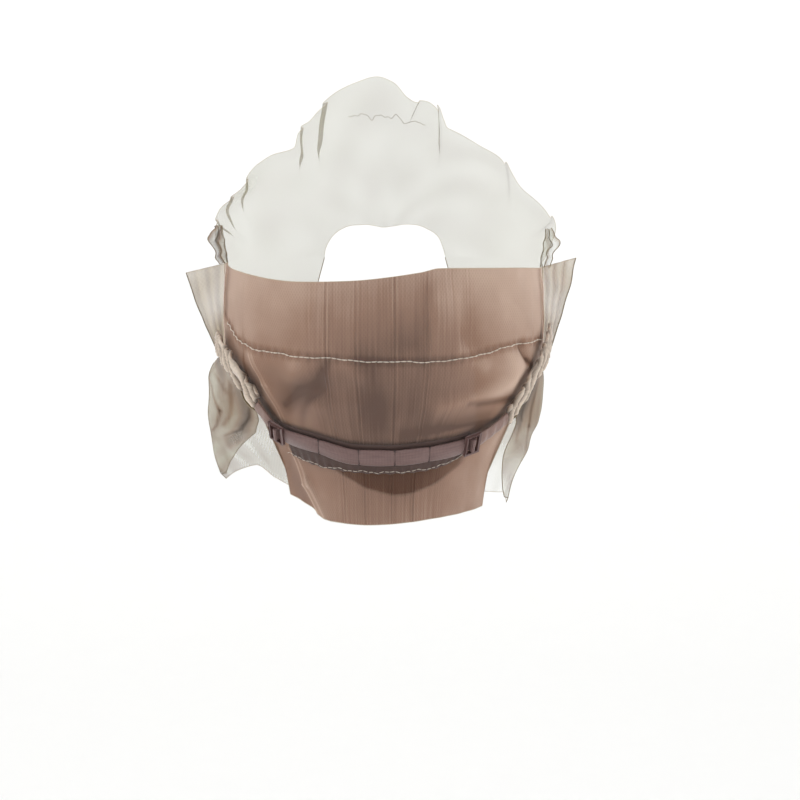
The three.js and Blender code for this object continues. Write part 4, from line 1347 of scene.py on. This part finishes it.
def make_selvedges():
    """The last strands of the nets' cut edges: fine over crown and panel, rolled along wings and cheeks."""
    turn, reach = back_columns()
    panel = turn[reach == 0][:, None], np.zeros((int((reach == 0).sum()), 1))
    side = np.linspace(0, 1, 60)[None, :]
    across = np.linspace(0, 1, 30)[:, None]
    fine = [strand(back_point(*panel, np.array([[end]]))[0][:, 0], PANEL_STRAND) for end in (0.0, 1.0)]
    rolled = []
    for s in (-1, 1):
        corner = np.full((len(across), 1), s * SEAM_TURN)
        rolled.append(strand(back_point(corner[:1], np.array([[1.0]]), side)[0][0], WING_SIDE_STRAND))
        fine.append(strand(back_point(corner, across, np.array([[0.0]]))[0][:, 0], WING_TOP_STRAND))
    down, over = front_columns()
    for end in (0.0, 1.0):
        at = np.array([[end]])
        fine.append(strand(crown_point(over, at)[:, 0], CROWN_STRAND))
        for s in (-1, 1):
            rolled.append(strand(cheek_point(s, down, at)[:, 0], CHEEK_STRAND))
    for s in (-1, 1):
        tip = cheek_point(s, np.array([[-2.0]]), np.linspace(0, 1, FRONT_ROWS)[None, :])[0]
        fine.append(strand(tip, TIP_STRAND))
        bend = np.linspace(-1.95, -0.62, 90)[:, None]
        rows = LEFT_CHEEK if s < 0 else RIGHT_CHEEK
        rear, face = (smooth(rows, "level", name, bend) for name in ("rear", "face"))
        share = np.clip((EAR_TURN - rear) / (face - rear), 0, 1)
        rolled.append(strand(cheek_point(s, bend, share)[:, 0], CHEEK_BEND_STRAND))
    bight = np.linspace(0, 1, 40)
    for start, stop, sag in BIGHTS:
        across = BIGHT_ACROSS + sag * np.sin(bight * math.pi)
        rolled.append(strand(band_point(blend(start, stop, bight), across, ELASTIC_OUT - 0.6), BIGHT_STRAND))
    turns = np.linspace(GATHER_FROM, GATHER_TO, 200)[:, None]
    rolled.append(strand(crown_point(turns, gather_row(turns) / CROWN_RUN)[:, 0], GATHER_STRAND))
    dress(tubes_piece("lace_selvedges", fine, edge_material), "lace_net")
    dress(tubes_piece("lace_rolled_edges", rolled, rolled_material), "lace_net")


# Studio: a round bowl of paper, in metres
FLOOR_Z = -0.42
FLOOR_RADIUS = 1.2
WALL_BEND = 1.0
WALL_TOP = 1.0


def make_studio():
    bend = [(0.05, FLOOR_Z), (FLOOR_RADIUS, FLOOR_Z)]
    for a in np.linspace(0, math.pi / 2, 16)[1:]:
        bend.append((FLOOR_RADIUS + WALL_BEND * math.sin(a), FLOOR_Z + WALL_BEND * (1 - math.cos(a))))
    bend.append((FLOOR_RADIUS + WALL_BEND, WALL_TOP))
    turns = np.linspace(0, 2 * math.pi, 65)[:-1]
    points = [(r * math.sin(a), r * math.cos(a), z) for a in turns for r, z in bend]
    index = np.arange(len(points)).reshape(len(turns), len(bend))
    around = np.roll(index, -1, axis=0)
    corners = [index[:, :-1], around[:, :-1], around[:, 1:], index[:, 1:]]
    faces = np.stack(corners, axis=-1).reshape(-1, 4).tolist() + [index[:, 0].tolist()]
    mesh = bpy.data.meshes.new("studio_floor")
    mesh.from_pydata(points, [], faces)
    floor = link("studio_floor", mesh, paper_material)


def area_light(name, place, aim, size, power):
    light = bpy.data.lights.new(name, "AREA")
    light.shape = "SQUARE"
    light.size = size
    light.energy = power
    lamp = bpy.data.objects.new(name, light)
    lamp.location = place
    lamp.rotation_euler = (Vector(aim) - Vector(place)).to_track_quat("-Z", "Y").to_euler()
    bpy.context.scene.collection.objects.link(lamp)


# Each light's place, aim and size in metres, and its power in watts
LIGHTS = (
    ("left_softbox", (-1.4, -0.9, 1.2), (0, 0, -0.02), 0.7, 12.6),
    ("right_softbox", (1.5, -0.7, 0.6), (0, 0, -0.02), 0.9, 8.2),
    ("backdrop_light", (0, 0.5, 2.2), (0, 2.2, -0.1), 2.0, 50),
)
AIR_LIGHT = 0.13


def make_lights():
    for light in LIGHTS:
        area_light(*light)
    world = bpy.data.worlds.new("studio_air")
    world.use_nodes = True
    sky = world.node_tree.nodes["Background"]
    sky.inputs["Color"].default_value = linear("#ffffff")
    sky.inputs["Strength"].default_value = AIR_LIGHT
    bpy.context.scene.world = world
    bpy.context.scene.view_settings.view_transform = "Standard"


def make_camera():
    camera = bpy.data.cameras.new("camera")
    camera.lens = 135
    camera.sensor_width = 36
    rig = bpy.data.objects.new("camera", camera)
    place, aim = Vector((0.008, -1.4943, 0.0617)), Vector((0.008, 0, -0.069))
    rig.location = place
    rig.rotation_euler = (aim - place).to_track_quat("-Z", "Y").to_euler()
    bpy.context.scene.collection.objects.link(rig)
    bpy.context.scene.camera = rig


make_camera()
make_studio()
make_lights()

back = make_back_lace()
front = make_front_lace()
casing = make_casing()
ribbon = make_ribbon()
band_piece(
    "looped_strap_band", LEFT_SLIDER_TURN + BAND_END, RIGHT_SLIDER_TURN - BAND_END, 260, strap_puff,
    strap_material, "satin_elastic", "looped_strap",
)

band_piece(
    "tape_left_band", LEFT_TAPE_END, LEFT_SLIDER_TURN - BAND_END, 40, tape_puff,
    tape_material, "satin_elastic", "tape_left",
)
band_piece(
    "tape_right_band", RIGHT_SLIDER_TURN + BAND_END, RIGHT_TAPE_END, 60, tape_puff,
    tape_material, "satin_elastic", "tape_right",
)
elastic_left = ruched_piece(
    "elastic_left_ruched", LEFT_ELASTIC_END, LEFT_TAPE_END - END_GAP, 41, "elastic_left"
)
elastic_right = ruched_piece(
    "elastic_right_ruched", RIGHT_TAPE_END + END_GAP, RIGHT_ELASTIC_END, 42, "elastic_right"
)
slider_piece("slider_left_moulded", LEFT_SLIDER_TURN, "slider_left")
slider_piece("slider_right_moulded", RIGHT_SLIDER_TURN, "slider_right")
strap_turn("strap_turn_left", LEFT_SLIDER_TURN, strap_material)
strap_turn("strap_turn_right", RIGHT_SLIDER_TURN, strap_material)
strap_tail("strap_tail_left", LEFT_SLIDER_TURN)
strap_tail("strap_tail_right", RIGHT_SLIDER_TURN)
gather_left = gather_piece("gather_left_tuft", -1, 51, "gather_left", 0.4)
gather_right = gather_piece("gather_right_tuft", 1, 52, "gather_right", 0.12)
make_gather_folds()
seam_stitches = make_seam_stitches()
ribbon_stitches = make_ribbon_stitches()
make_bar_tacks()
make_selvedges()
